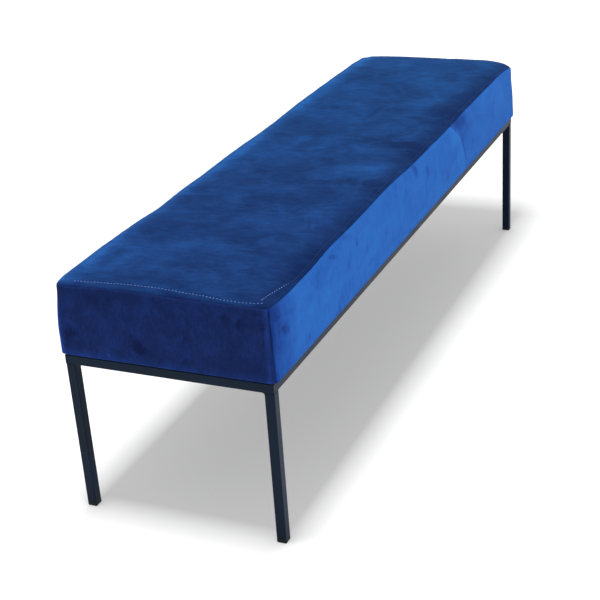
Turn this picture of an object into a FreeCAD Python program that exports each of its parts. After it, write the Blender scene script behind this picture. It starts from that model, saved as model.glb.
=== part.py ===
# Upholstered bench: a thick fabric-covered seat on a slim welded square-tube frame.
#
# Frame of reference, millimetres:
#   origin  on the floor, under the middle of the seat
#   +X      along the bench, towards its right-hand end
#   +Y      across the bench, towards its rear long side
#   +Z      up
#
# The steel frame is a mitred ring of square tube with a cross rail and four legs.
# Six tabs inside the ring carry the seat, which is bolted up through them into tee nuts.
# The seat is a plywood board with a foam block, a layer of wadding and a sewn cover
# that is stapled to the board's underside, closed off by a dust cover.

import FreeCAD, Part
import math
import os

import Sketcher
from FreeCAD import Placement, Rotation, Vector

os.makedirs("parts", exist_ok=True)

doc = FreeCAD.newDocument("upholstered_bench")

# ---------------------------------------------------------------------------
# Driving sizes, all in millimetres (counts are plain numbers)
# ---------------------------------------------------------------------------

TABLE = [
    # the welded frame
    ("frame_length", 1496.0, "outside length of the tube ring"),
    ("frame_width", 394.0, "outside width of the tube ring"),
    ("frame_top", 307.0, "height of the ring's top face above the floor"),
    ("tube_side", 18.0, "outside side of the square tube"),
    ("tube_wall", 1.5, "wall of the square tube"),
    ("tube_round", 1.8, "outside corner radius of the square tube"),
    ("bore_round", 0.5, "inside corner radius of the square tube"),
    ("weld_leg", 4.6, "leg of a fillet weld"),
    ("weld_toe", 0.3, "thickness of a weld at its toes"),
    # the inserts in the legs
    ("glide_head", 7.0, "height of a glide below the tube"),
    ("glide_edge", 1.0, "rounding of a glide's lower edges"),
    ("glide_core", 13.4, "side of a glide's core inside the tube"),
    ("glide_stem", 22.0, "length of a glide's core inside the tube"),
    ("rib_side", 14.9, "side of the sealing ribs on the core"),
    ("rib_height", 1.2, "height of one sealing rib"),
    ("rib_first", 3.5, "height of the first rib above the tube's end"),
    ("rib_pitch", 6.0, "pitch of the sealing ribs"),
    ("rib_count", 3, "number of sealing ribs"),
    # the tabs and the fasteners
    ("tab_length", 28.0, "size of a tab along the rail"),
    ("tab_reach", 25.0, "size of a tab across the rail"),
    ("tab_thick", 3.0, "thickness of a tab"),
    ("tab_drop", 0.2, "depth of a tab's top below the ring's top face"),
    ("tab_hole", 6.6, "diameter of the bolt hole in a tab"),
    ("tab_end_x", 600.0, "distance of the outer tabs from the middle"),
    ("tab_mid_x", 24.0, "distance of the middle tabs from the middle"),
    ("bolt_dia", 5.9, "diameter of a bolt's shank"),
    ("bolt_length", 25.0, "length of a bolt under its head"),
    ("bolt_head", 10.5, "diameter of a bolt's button head"),
    ("bolt_head_high", 3.3, "height of a bolt's button head"),
    ("bolt_head_round", 2.2, "rounding of a bolt's button head"),
    ("key_across", 4.0, "hexagon socket across its flats"),
    ("key_deep", 2.0, "depth of the hexagon socket"),
    ("washer_dia", 12.0, "outside diameter of a washer"),
    ("washer_hole", 6.4, "hole in a washer"),
    ("washer_thick", 1.6, "thickness of a washer"),
    ("nut_flange", 19.0, "diameter of a tee nut's flange"),
    ("nut_flange_thick", 1.4, "thickness of a tee nut's flange"),
    ("nut_barrel", 7.6, "diameter of a tee nut's barrel"),
    ("nut_barrel_long", 11.0, "length of a tee nut's barrel"),
    ("nut_bore", 6.1, "bore of a tee nut"),
    # the seat
    ("seat_length", 1502.0, "outside length of the covered seat"),
    ("seat_width", 402.0, "outside width of the covered seat"),
    ("seat_top", 450.0, "height of the seat above the floor"),
    ("seat_corner", 15.0, "radius of the seat's upright corners"),
    ("seat_edge", 9.5, "radius of the seat's top edges"),
    ("seam_drop", 3.0, "depth of the top panel's seam below the seat's top"),
    ("cover_thick", 1.2, "thickness of the cover fabric"),
    ("wadding_thick", 6.0, "thickness of the wadding"),
    ("soft_gap", 0.2, "clearance between the layers"),
    ("flap_wide", 30.0, "width of the cover turned under the board"),
    ("board_thick", 18.0, "thickness of the seat board"),
    ("board_hole", 8.2, "diameter of a tee-nut hole in the board"),
    ("recess_dia", 20.0, "clearance in the foam over a tee nut's flange"),
    ("recess_deep", 1.6, "depth of that clearance"),
    ("dust_thick", 0.6, "thickness of the dust cover"),
    ("dust_margin", 12.0, "how far the dust cover stays inside the seat's edge"),
    # the stitching and the staples
    ("stitch_inset", 18.5, "distance of the ends' topstitching from the seat's edge"),
    ("stitch_inset_long", 10.5, "distance of the long sides' topstitching from the seat's edge"),
    ("thread_dia", 0.6, "thickness of the topstitching thread"),
    ("staple_crown", 12.8, "outside width of a staple"),
    ("staple_wire", 0.65, "thickness of staple wire"),
    ("staple_wide", 1.0, "width of staple wire"),
    ("staple_leg", 8.0, "length of a staple's legs"),
    ("staple_inset", 24.0, "distance of the cover's staples from the seat's edge"),
    ("staple_pitch", 50.0, "pitch of the cover's staples"),
    ("dust_inset", 31.5, "distance of the dust cover's staples from the seat's edge"),
    ("dust_pitch", 75.0, "pitch of the dust cover's staples"),
]

sizes = doc.addObject("Spreadsheet::Sheet", "sizes")
for row, (alias, value, words) in enumerate(TABLE, 1):
    sizes.set("A%d" % row, words)
    sizes.set("B%d" % row, "%g" % value)
    sizes.setAlias("B%d" % row, alias)
doc.recompute()


class Size:
    """A number together with the sheet expression that it comes from."""

    def __init__(self, value, text):
        self.value = float(value)
        self.text = text

    def _with(self, other, sign, value):
        return Size(value, "(%s %s %s)" % (self.text, sign, other.text))

    def __add__(self, other):
        other = as_size(other)
        return self._with(other, "+", self.value + other.value)

    def __sub__(self, other):
        other = as_size(other)
        return self._with(other, "-", self.value - other.value)

    def __mul__(self, other):
        other = as_size(other)
        return self._with(other, "*", self.value * other.value)

    def __truediv__(self, other):
        other = as_size(other)
        return self._with(other, "/", self.value / other.value)

    def __radd__(self, other):
        return as_size(other) + self

    def __rsub__(self, other):
        return as_size(other) - self

    def __rmul__(self, other):
        return as_size(other) * self

    def __neg__(self):
        return Size(-self.value, "(-1 * %s)" % self.text)


def as_size(value):
    return value if isinstance(value, Size) else Size(value, "%g" % value)


def cell(alias):
    """The sheet's cell of that alias."""
    return Size(getattr(sizes, alias), "sizes." + alias)


def bind(thing, prop, size):
    thing.setExpression(prop, as_size(size).text)


# ---------------------------------------------------------------------------
# Sketching helpers
# ---------------------------------------------------------------------------


def plane(body, role):
    return [f for f in body.Origin.OriginFeatures if f.Role == role][0]


def new_body(label):
    body = doc.addObject("PartDesign::Body", label)
    body.Label = label
    body.AllowCompound = True
    return body


def new_sketch(body, name, role, lift=None):
    sketch = body.newObject("Sketcher::SketchObject", name)
    sketch.AttachmentSupport = [(plane(body, role), "")]
    sketch.MapMode = "FlatFace"
    if lift is not None:
        bind(sketch, "AttachmentOffset.Base.z", lift)
    return sketch


def name_constraint(sketch, index, name, size):
    sketch.renameConstraint(index, name)
    sketch.setExpression("Constraints." + name, size.text)


def pin_point(sketch, geometry, point, x, y, name):
    """Ties one point of the sketch to its origin by two named distances."""
    for axis, size in (("X", as_size(x)), ("Y", as_size(y))):
        kind = "Distance" + axis
        if size.value < 0:
            size = -size
            index = sketch.addConstraint(Sketcher.Constraint(kind, geometry, point, -1, 1, size.value))
        else:
            index = sketch.addConstraint(Sketcher.Constraint(kind, -1, 1, geometry, point, size.value))
        name_constraint(sketch, index, "%s_%s" % (name, axis.lower()), size)


def draw_polygon(sketch, points, name):
    """A closed outline of straight lines, each corner tied to the sketch's origin."""
    flat = [(as_size(x), as_size(y)) for x, y in points]
    first = None
    lines = []
    for (xa, ya), (xb, yb) in zip(flat, flat[1:] + flat[:1]):
        line = sketch.addGeometry(
            Part.LineSegment(Vector(xa.value, ya.value, 0), Vector(xb.value, yb.value, 0)), False
        )
        lines.append(line)
        first = line if first is None else first
    for this, after in zip(lines, lines[1:] + lines[:1]):
        sketch.addConstraint(Sketcher.Constraint("Coincident", this, 2, after, 1))
    for number, (line, (x, y)) in enumerate(zip(lines, flat), 1):
        pin_point(sketch, line, 1, x, y, "%s_%d" % (name, number))


def draw_circle(sketch, x, y, diameter, name):
    x, y, diameter = as_size(x), as_size(y), as_size(diameter)
    circle = sketch.addGeometry(
        Part.Circle(Vector(x.value, y.value, 0), Vector(0, 0, 1), diameter.value / 2), False
    )
    index = sketch.addConstraint(Sketcher.Constraint("Diameter", circle, diameter.value))
    name_constraint(sketch, index, name + "_dia", diameter)
    pin_point(sketch, circle, 3, x, y, name)


def draw_hexagon(sketch, x, y, across, name):
    """A hexagon by its distance across flats, about a point of the sketch."""
    across = as_size(across)
    points = []
    for corner in range(6):
        angle = math.radians(60 * corner + 30)
        points.append((x + across * (math.cos(angle) / math.sqrt(3)), y + across * (math.sin(angle) / math.sqrt(3))))
    draw_polygon(sketch, points, name)


def draw_rounded(sketch, wide, high, radius, name):
    """A rectangle with rounded corners, centred on the sketch's origin."""
    wide, high, radius = as_size(wide), as_size(high), as_size(radius)
    a, b, r = wide.value / 2, high.value / 2, radius.value
    up = Vector(0, 0, 1)

    def line(xa, ya, xb, yb):
        return sketch.addGeometry(Part.LineSegment(Vector(xa, ya, 0), Vector(xb, yb, 0)), False)

    def arc(x, y, start):
        circle = Part.Circle(Vector(x, y, 0), up, r)
        return sketch.addGeometry(
            Part.ArcOfCircle(circle, math.radians(start), math.radians(start + 90)), False
        )

    chain = [
        line(-a + r, -b, a - r, -b),
        arc(a - r, -b + r, -90),
        line(a, -b + r, a, b - r),
        arc(a - r, b - r, 0),
        line(a - r, b, -a + r, b),
        arc(-a + r, b - r, 90),
        line(-a, b - r, -a, -b + r),
        arc(-a + r, -b + r, 180),
    ]
    for this, after in zip(chain, chain[1:] + chain[:1]):
        sketch.addConstraint(Sketcher.Constraint("Tangent", this, 2, after, 1))
    for index in (0, 4):
        sketch.addConstraint(Sketcher.Constraint("Horizontal", chain[index]))
    for index in (2, 6):
        sketch.addConstraint(Sketcher.Constraint("Vertical", chain[index]))
    for index in (3, 5, 7):
        sketch.addConstraint(Sketcher.Constraint("Equal", chain[1], chain[index]))
    index = sketch.addConstraint(Sketcher.Constraint("Radius", chain[1], r))
    name_constraint(sketch, index, name + "_radius", radius)
    for kind, first, second, half, side in (
        ("DistanceX", (-1, 1), (chain[2], 1), wide / 2, "right"),
        ("DistanceX", (chain[6], 1), (-1, 1), wide / 2, "left"),
        ("DistanceY", (-1, 1), (chain[4], 1), high / 2, "top"),
        ("DistanceY", (chain[0], 1), (-1, 1), high / 2, "bottom"),
    ):
        index = sketch.addConstraint(Sketcher.Constraint(kind, first[0], first[1], second[0], second[1], half.value))
        name_constraint(sketch, index, "%s_%s" % (name, side), half)


def pad(body, sketch, name, length, symmetric=False, reverse=False):
    feature = body.newObject("PartDesign::Pad", name)
    feature.Profile = sketch
    feature.SideType = "Symmetric" if symmetric else "One side"
    feature.Reversed = reverse
    bind(feature, "Length", length)
    doc.recompute()
    return feature


def pocket(body, sketch, name, length, symmetric=False, reverse=False):
    """Cuts the sketch's outline out of the body, and makes sure that it cut."""
    before = body.Shape.Volume
    feature = body.newObject("PartDesign::Pocket", name)
    feature.Profile = sketch
    feature.SideType = "Symmetric" if symmetric else "One side"
    feature.Reversed = reverse
    bind(feature, "Length", length)
    doc.recompute()
    if not body.Shape.Volume < before - 0.01:
        raise RuntimeError("%s cuts nothing" % name)
    return feature


def edges_at(shape, test):
    """Names of the shape's edges whose every point passes the test."""
    names = []
    for number, edge in enumerate(shape.Edges, 1):
        points = [edge.valueAt(edge.FirstParameter + (edge.LastParameter - edge.FirstParameter) * k / 4.0) for k in range(5)]
        if all(test(p) for p in points):
            names.append("Edge%d" % number)
    return names


def fillet(body, base, name, radius, test):
    feature = body.newObject("PartDesign::Fillet", name)
    feature.Base = (base, edges_at(base.Shape, test))
    bind(feature, "Radius", radius)
    doc.recompute()
    return feature


def place(thing, x=0, y=0, z=0, turn=0.0):
    """Puts a piece where it belongs, turned about Z by so many degrees."""
    thing.Placement = Placement(
        Vector(as_size(x).value, as_size(y).value, as_size(z).value), Rotation(Vector(0, 0, 1), turn)
    )
    bind(thing, "Placement.Base.x", x)
    bind(thing, "Placement.Base.y", y)
    bind(thing, "Placement.Base.z", z)


nodes = []


def keep(thing, label):
    """Marks a document object as one of the bench's pieces."""
    thing.Label = label
    nodes.append((label, thing))
    return thing


# ---------------------------------------------------------------------------
# The welded frame
# ---------------------------------------------------------------------------

frame_length = cell("frame_length")
frame_width = cell("frame_width")
frame_top = cell("frame_top")
tube = cell("tube_side")
wall = cell("tube_wall")
glide_head = cell("glide_head")

ring_bottom = frame_top - tube


def tube_section(body, role):
    """The tube's hollow section on one of the body's planes."""
    section = new_sketch(body, body.Name + "_section", role)
    draw_rounded(section, tube, tube, cell("tube_round"), "outside")
    draw_rounded(section, tube - 2 * wall, tube - 2 * wall, cell("bore_round"), "bore")
    return section


def make_rail(label, length, mitred):
    """A rail along its own X axis. Its outer side is the -Y side, where it is longest."""
    body = new_body(label)
    pad(body, tube_section(body, "YZ_Plane"), label + "_tube", length, symmetric=True)
    if mitred:
        past = 3.0
        for sign, end in ((1, "right"), (-1, "left")):
            mitre = new_sketch(body, "%s_mitre_%s" % (label, end), "XY_Plane")
            draw_polygon(
                mitre,
                [
                    (sign * (length / 2 + past), -1 * (tube / 2 + past)),
                    (sign * (length / 2 + past), tube / 2 + past),
                    (sign * (length / 2 - tube - past), tube / 2 + past),
                ],
                "mitre",
            )
            pocket(body, mitre, "%s_cut_%s" % (label, end), tube * 2, symmetric=True)
    return keep(body, label)


rail_z = frame_top - tube / 2
rail_y = (frame_width - tube) / 2
rail_x = (frame_length - tube) / 2

place(make_rail("front_rail", frame_length, True), 0, -rail_y, rail_z)
place(make_rail("rear_rail", frame_length, True), 0, rail_y, rail_z, 180)
place(make_rail("left_end_rail", frame_width, True), -rail_x, 0, rail_z, -90)
place(make_rail("right_end_rail", frame_width, True), rail_x, 0, rail_z, 90)
place(make_rail("centre_cross_rail", frame_width - 2 * tube, False), 0, 0, rail_z, 90)

CORNERS = (
    ("front_left", -1, -1),
    ("front_right", 1, -1),
    ("rear_left", -1, 1),
    ("rear_right", 1, 1),
)

for name, sx, sy in CORNERS:
    leg = new_body("leg_" + name)
    pad(leg, tube_section(leg, "XY_Plane"), "leg_tube_" + name, ring_bottom - glide_head)
    keep(leg, "leg_" + name)
    place(leg, sx * rail_x, sy * rail_y, glide_head)

# Push-in glides close the legs: a head as wide as the tube, and a ribbed core in its bore.
for name, sx, sy in CORNERS:
    glide = new_body("foot_glide_" + name)
    outline = new_sketch(glide, "glide_head_outline_" + name, "XY_Plane")
    draw_rounded(outline, tube, tube, cell("tube_round"), "head")
    head = pad(glide, outline, "glide_head_" + name, glide_head)
    head = fillet(glide, head, "glide_edge_" + name, cell("glide_edge"), lambda p: abs(p.z) < 0.001)
    core = new_sketch(glide, "glide_core_outline_" + name, "XY_Plane", glide_head)
    draw_rounded(core, cell("glide_core"), cell("glide_core"), 1.0, "core")
    pad(glide, core, "glide_core_" + name, cell("glide_stem"))
    rib = new_sketch(glide, "glide_rib_outline_" + name, "XY_Plane", glide_head + cell("rib_first"))
    draw_rounded(rib, cell("rib_side"), cell("rib_side"), 1.0, "rib")
    first_rib = pad(glide, rib, "glide_rib_" + name, cell("rib_height"))
    ribs = glide.newObject("PartDesign::LinearPattern", "glide_ribs_" + name)
    ribs.Originals = [first_rib]
    ribs.Direction = (rib, ["N_Axis"])
    bind(ribs, "Length", cell("rib_pitch") * (cell("rib_count") - 1))
    bind(ribs, "Occurrences", cell("rib_count"))
    glide.Tip = ribs
    doc.recompute()
    keep(glide, "foot_glide_" + name)
    place(glide, sx * rail_x, sy * rail_y, 0)

# Six tabs stand inward from the long rails, just under the ring's top face.
tab_x = (-cell("tab_end_x"), cell("tab_mid_x"), cell("tab_end_x"))
tab_y = frame_width / 2 - tube - cell("tab_reach") / 2
tab_top = frame_top - cell("tab_drop")
tab_bottom = tab_top - cell("tab_thick")
BOLTS = [(x, sy * tab_y, "%s_%d" % (row, number)) for row, sy in (("front", -1), ("rear", 1)) for number, x in enumerate(tab_x, 1)]

tabs = new_body("seat_mounting_tabs")
outline = new_sketch(tabs, "tab_outlines", "XY_Plane")
for x, y, name in BOLTS:
    half_x, half_y = cell("tab_length") / 2, cell("tab_reach") / 2
    draw_polygon(
        outline,
        [(x - half_x, y - half_y), (x + half_x, y - half_y), (x + half_x, y + half_y), (x - half_x, y + half_y)],
        "tab_" + name,
    )
    draw_circle(outline, x, y, cell("tab_hole"), "hole_" + name)
pad(tabs, outline, "tab_plates", cell("tab_thick"))
keep(tabs, "seat_mounting_tabs")
place(tabs, 0, 0, tab_bottom)

# Fillet welds: two at the top of each leg, four on the cross rail, one under each tab.
weld = cell("weld_leg").value
toe = cell("weld_toe").value


def weld_bead(at, along, first, second, length):
    """A concave fillet in the corner at a point, centred on its length, between two walls that run along first and second."""
    near = Vector(*at) - Vector(*along) * (length / 2.0)
    u, v = Vector(*first), Vector(*second)
    corner = near
    a, a2 = near + u * weld, near + u * weld + v * toe
    b, b2 = near + v * weld, near + v * weld + u * toe
    middle = near + (u + v) * (toe + (weld - toe) * (1 - math.sqrt(0.5)) * 1.02)
    outline = Part.Wire(
        [
            Part.LineSegment(corner, a).toShape(),
            Part.LineSegment(a, a2).toShape(),
            Part.Arc(a2, middle, b2).toShape(),
            Part.LineSegment(b2, b).toShape(),
            Part.LineSegment(b, corner).toShape(),
        ]
    )
    return Part.Face(outline).extrude(Vector(*along) * length)


flat = tube.value - 2 * cell("tube_round").value
beads = []
for name, sx, sy in CORNERS:
    x, y = sx * rail_x.value, sy * rail_y.value
    inner_x = x - sx * tube.value / 2
    inner_y = y - sy * tube.value / 2
    beads.append(weld_bead((inner_x, y, ring_bottom.value), (0, 1, 0), (-sx, 0, 0), (0, 0, -1), flat))
    beads.append(weld_bead((x, inner_y, ring_bottom.value), (1, 0, 0), (0, -sy, 0), (0, 0, -1), flat))
for sx in (-1, 1):
    for sy in (-1, 1):
        at = (sx * tube.value / 2, sy * (frame_width.value / 2 - tube.value), rail_z.value)
        if sx > 0:
            # a middle tab stands close by above, so this bead is the shorter one
            low = ring_bottom.value + cell("tube_round").value
            high = tab_bottom.value - 0.3
            beads.append(weld_bead((at[0], at[1], (low + high) / 2), (0, 0, 1), (sx, 0, 0), (0, -sy, 0), high - low))
        else:
            beads.append(weld_bead(at, (0, 0, 1), (sx, 0, 0), (0, -sy, 0), flat))
for x, y, name in BOLTS:
    sy = 1 if y.value > 0 else -1
    bead_x = x.value + (3.5 if abs(x.value) < 100 else 0)
    beads.append(
        weld_bead(
            (bead_x, sy * (frame_width.value / 2 - tube.value), tab_bottom.value),
            (1, 0, 0),
            (0, -sy, 0),
            (0, 0, -1),
            cell("tab_length").value - (12 if abs(x.value) < 100 else 6),
        )
    )
weld_beads = doc.addObject("Part::Feature", "weld_beads")
weld_beads.Shape = Part.makeCompound(beads)
weld_beads.Placement = Placement()
keep(weld_beads, "weld_beads")

# ---------------------------------------------------------------------------
# Heights and outlines of the seat's layers
# ---------------------------------------------------------------------------

seat_length = cell("seat_length")
seat_width = cell("seat_width")
seat_top = cell("seat_top")
corner = cell("seat_corner")
edge = cell("seat_edge")
cover = cell("cover_thick")
wadding = cell("wadding_thick")
gap = cell("soft_gap")

dust_bottom = frame_top
cover_bottom = dust_bottom + cell("dust_thick")
board_bottom = cover_bottom + cover
board_top = board_bottom + cell("board_thick")
seam = seat_top - cell("seam_drop")


def soft_block(label, margin, bottom, top, rounded=True):
    """A block of the seat's outline, drawn in by a margin, with its upper edges rounded."""
    body = new_body(label)
    outline = new_sketch(body, label + "_outline", "XY_Plane")
    draw_rounded(outline, seat_length - 2 * margin, seat_width - 2 * margin, corner - margin, "outline")
    height = top - bottom
    block = pad(body, outline, label + "_block", height)
    if rounded:
        high = height.value
        fillet(body, block, label + "_edges", edge - margin, lambda p: abs(p.z - high) < 0.001)
    place(body, 0, 0, bottom)
    return body


# ---------------------------------------------------------------------------
# Staples, and the small holes that they make
# ---------------------------------------------------------------------------

crown = cell("staple_crown").value
wire = cell("staple_wire").value
wide = cell("staple_wide").value
leg_long = cell("staple_leg").value


def staple(x, y, z, turn, grow=0.0):
    """A staple driven upwards. z is the lower side of its crown, which runs along X before it is turned."""
    parts = [
        Part.makeBox(crown + 2 * grow, wide + 2 * grow, wire + 2 * grow, Vector(-crown / 2 - grow, -wide / 2 - grow, -grow))
    ]
    for side in (-1, 1):
        middle = side * (crown / 2 - wire / 2)
        parts.append(
            Part.makeBox(
                wire + 2 * grow, wide + 2 * grow, leg_long + 2 * grow,
                Vector(middle - wire / 2 - grow, -wide / 2 - grow, -grow),
            )
        )
    shape = parts[0].fuse(parts[1:]).removeSplitter()
    shape.Placement = Placement(Vector(x, y, z), Rotation(Vector(0, 0, 1), turn))
    return shape


def row(half, pitch):
    """Evenly spaced places along a side, symmetric about its middle."""
    count = int(half / pitch)
    return [k * pitch for k in range(-count, count + 1)]


def staple_places(inset, pitch, keep_out):
    """Staple places all round the underside, leaving out those that a tab or a bolt is in the way of."""
    places = []
    along = seat_width.value / 2 - inset
    across = seat_length.value / 2 - inset
    for x in row(across - 25.0, pitch):
        for sy in (-1, 1):
            if all(abs(x - bolt_x.value) > keep_out for bolt_x, _, _ in BOLTS):
                places.append((x, sy * along, 0.0))
    for y in row(along - 25.0, pitch):
        for sx in (-1, 1):
            places.append((sx * across, y, 90.0))
    return places


cover_places = staple_places(cell("staple_inset").value, cell("staple_pitch").value, 18.0)
dust_places = staple_places(cell("dust_inset").value, cell("dust_pitch").value, 26.0)
# the two rows are driven at different places along the edge
dust_places = [(x + (0.0 if turn else 22.0), y + (20.0 if turn else 0.0), turn) for x, y, turn in dust_places]
dust_places = [
    (x, y, turn)
    for x, y, turn in dust_places
    if turn or all(abs(x - bolt_x.value) > 24.0 for bolt_x, _, _ in BOLTS) and abs(x) > 18.0
]

cover_staple_z = cover_bottom.value
dust_staple_z = dust_bottom.value - wire


def staple_group(label, places, z, grow=0.0):
    group = doc.addObject("Part::Feature", label)
    group.Shape = Part.makeCompound([staple(x, y, z, turn, grow) for x, y, turn in places])
    group.Placement = Placement()
    return group


keep(staple_group("cover_staples", cover_places, cover_staple_z), "cover_staples")
keep(staple_group("dust_cover_staples", dust_places, dust_staple_z), "dust_cover_staples")

all_holes = [staple(x, y, cover_staple_z, turn, 0.05) for x, y, turn in cover_places]
all_holes += [staple(x, y, dust_staple_z, turn, 0.05) for x, y, turn in dust_places]
staple_holes = doc.addObject("Part::Feature", "staple_holes")
staple_holes.Shape = Part.makeCompound(all_holes)
staple_holes.Placement = Placement()
dust_holes = doc.addObject("Part::Feature", "dust_staple_holes")
dust_holes.Shape = Part.makeCompound([staple(x, y, dust_staple_z, turn, 0.05) for x, y, turn in dust_places])
dust_holes.Placement = Placement()


def cut(label, base, tool):
    feature = doc.addObject("Part::Cut", label)
    feature.Base = base
    feature.Tool = tool
    doc.recompute()
    return feature


def common(label, base, tool):
    feature = doc.addObject("Part::Common", label)
    feature.Base = base
    feature.Tool = tool
    doc.recompute()
    return feature


# ---------------------------------------------------------------------------
# The seat board, the foam, the wadding and the dust cover
# ---------------------------------------------------------------------------

inner = cover + wadding + 2 * gap

blank = soft_block("seat_board_blank", inner, board_bottom, board_top, rounded=False)
drill = new_sketch(blank, "seat_board_drillings", "XY_Plane")
for x, y, name in BOLTS:
    draw_circle(drill, x, y, cell("board_hole"), "hole_" + name)
pocket(blank, drill, "seat_board_holes", cell("board_thick") * 2, reverse=True)
keep(cut("seat_board", blank, staple_holes), "seat_board")

foam = soft_block("foam_core", inner, board_top, seat_top - inner)
recess = new_sketch(foam, "foam_recesses", "XY_Plane")
for x, y, name in BOLTS:
    draw_circle(recess, x, y, cell("recess_dia"), "recess_" + name)
pocket(foam, recess, "foam_recess_cuts", cell("recess_deep"), reverse=True)
keep(foam, "foam_core")

wadding_outside = soft_block("wadding_outside", cover + gap, board_bottom, seat_top - cover - gap)
wadding_inside = soft_block("wadding_inside", cover + gap + wadding, board_bottom, seat_top - cover - gap - wadding)
keep(cut("wadding_layer", wadding_outside, wadding_inside), "wadding_layer")

dust_blank = new_body("dust_cover_blank")
outline = new_sketch(dust_blank, "dust_cover_outline", "XY_Plane")
dust_x = seat_length / 2 - cell("dust_margin")
dust_y = seat_width / 2 - cell("dust_margin")
draw_polygon(outline, [(-dust_x, -dust_y), (dust_x, -dust_y), (dust_x, dust_y), (-dust_x, dust_y)], "edge")
for x, y, name in BOLTS:
    draw_circle(outline, x, y, cell("tab_hole"), "hole_" + name)
pad(dust_blank, outline, "dust_cover_sheet", cell("dust_thick"))
place(dust_blank, 0, 0, dust_bottom)
keep(cut("dust_cover", dust_blank, dust_holes), "dust_cover")

# ---------------------------------------------------------------------------
# The sewn cover: a top panel, and a band on each side that turns under the board
# ---------------------------------------------------------------------------

cover_outside = soft_block("cover_outside", as_size(0), cover_bottom, seat_top)
cover_inside = soft_block("cover_inside", cover, board_bottom, seat_top - cover)
cover_closed = cut("cover_closed", cover_outside, cover_inside)

mouth = doc.addObject("Part::Box", "cover_mouth")
flap = cell("flap_wide")
bind(mouth, "Length", seat_length - 2 * flap)
bind(mouth, "Width", seat_width - 2 * flap)
bind(mouth, "Height", cover + 2)
place(mouth, -1 * (seat_length / 2 - flap), -1 * (seat_width / 2 - flap), cover_bottom - 1)
cover_open = cut("cover_open", cover_closed, mouth)
cover_sewn = cut("cover_sewn", cover_open, staple_holes)

above = doc.addObject("Part::Box", "above_seam")
bind(above, "Length", seat_length + 20)
bind(above, "Width", seat_width + 20)
bind(above, "Height", cell("seam_drop") + 10)
place(above, -1 * (seat_length / 2 + 10), -1 * (seat_width / 2 + 10), seam)
keep(common("cover_top_panel", cover_sewn, above), "cover_top_panel")


def band_region(label, points):
    """The space below the top seam that one band fills, parted from its neighbours at the upright corner seams."""
    body = new_body(label)
    outline = new_sketch(body, label + "_outline", "XY_Plane")
    draw_polygon(outline, points, "corner")
    pad(body, outline, label + "_prism", seam - cover_bottom + 5)
    place(body, 0, 0, cover_bottom - 5)
    return body


# The upright seams stand at 45 degrees, so each region is a trapezium that reaches the bench's middle line.
reach = 10.0
far_x, far_y = seat_length / 2 + reach, seat_width / 2 + reach
deep = seat_width / 2 - 30
near_x, near_y = far_x - deep, far_y - deep
BANDS = (
    ("front", [(-far_x, -far_y), (far_x, -far_y), (near_x, -near_y), (-near_x, -near_y)]),
    ("rear", [(-near_x, near_y), (near_x, near_y), (far_x, far_y), (-far_x, far_y)]),
    ("left_end", [(-far_x, -far_y), (-near_x, -near_y), (-near_x, near_y), (-far_x, far_y)]),
    ("right_end", [(near_x, -near_y), (far_x, -far_y), (far_x, far_y), (near_x, near_y)]),
)
for name, points in BANDS:
    region = band_region("region_" + name, points)
    keep(common("cover_%s_band" % name, cover_sewn, region), "cover_%s_band" % name)

# Topstitching holds the seam allowance down: one row along each side of the top panel.
stitches = new_body("topstitching")
outline = new_sketch(stitches, "topstitching_rows", "XY_Plane")
thread = cell("thread_dia")
row_x = seat_length / 2 - cell("stitch_inset")
row_y = seat_width / 2 - cell("stitch_inset_long")
short = thread * 3
for sy, name in ((-1, "front"), (1, "rear")):
    draw_polygon(
        outline,
        [
            (-1 * (row_x - short), sy * row_y - thread / 2),
            (row_x - short, sy * row_y - thread / 2),
            (row_x - short, sy * row_y + thread / 2),
            (-1 * (row_x - short), sy * row_y + thread / 2),
        ],
        name,
    )
for sx, name in ((-1, "left"), (1, "right")):
    draw_polygon(
        outline,
        [
            (sx * row_x - thread / 2, -1 * (row_y - short)),
            (sx * row_x + thread / 2, -1 * (row_y - short)),
            (sx * row_x + thread / 2, row_y - short),
            (sx * row_x - thread / 2, row_y - short),
        ],
        name,
    )
pad(stitches, outline, "topstitching_thread", thread)
keep(stitches, "topstitching")
place(stitches, 0, 0, seat_top)

# ---------------------------------------------------------------------------
# Bolts, washers and tee nuts
# ---------------------------------------------------------------------------

washers = new_body("bolt_washers")
outline = new_sketch(washers, "washer_outlines", "XY_Plane")
for x, y, name in BOLTS:
    draw_circle(outline, x, y, cell("washer_dia"), "rim_" + name)
    draw_circle(outline, x, y, cell("washer_hole"), "hole_" + name)
pad(washers, outline, "washer_discs", cell("washer_thick"))
keep(washers, "bolt_washers")
washer_bottom = tab_bottom - cell("washer_thick")
place(washers, 0, 0, washer_bottom)

# A bolt's local zero is the seat of its head: the head is below and the shank above.
bolts = new_body("seat_bolts")
outline = new_sketch(bolts, "bolt_head_outlines", "XY_Plane")
for x, y, name in BOLTS:
    draw_circle(outline, x, y, cell("bolt_head"), "head_" + name)
heads = pad(bolts, outline, "bolt_heads", cell("bolt_head_high"), reverse=True)
head_face = -cell("bolt_head_high").value
fillet(bolts, heads, "bolt_head_rounding", cell("bolt_head_round"), lambda p: abs(p.z - head_face) < 0.001)
keys = new_sketch(bolts, "bolt_key_outlines", "XY_Plane", -cell("bolt_head_high"))
for x, y, name in BOLTS:
    draw_hexagon(keys, x, y, cell("key_across"), "key_" + name)
pocket(bolts, keys, "bolt_keys", cell("key_deep"), reverse=True)
shanks = new_sketch(bolts, "bolt_shank_outlines", "XY_Plane")
for x, y, name in BOLTS:
    draw_circle(shanks, x, y, cell("bolt_dia"), "shank_" + name)
pad(bolts, shanks, "bolt_shanks", cell("bolt_length"))
keep(bolts, "seat_bolts")
place(bolts, 0, 0, washer_bottom)

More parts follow.
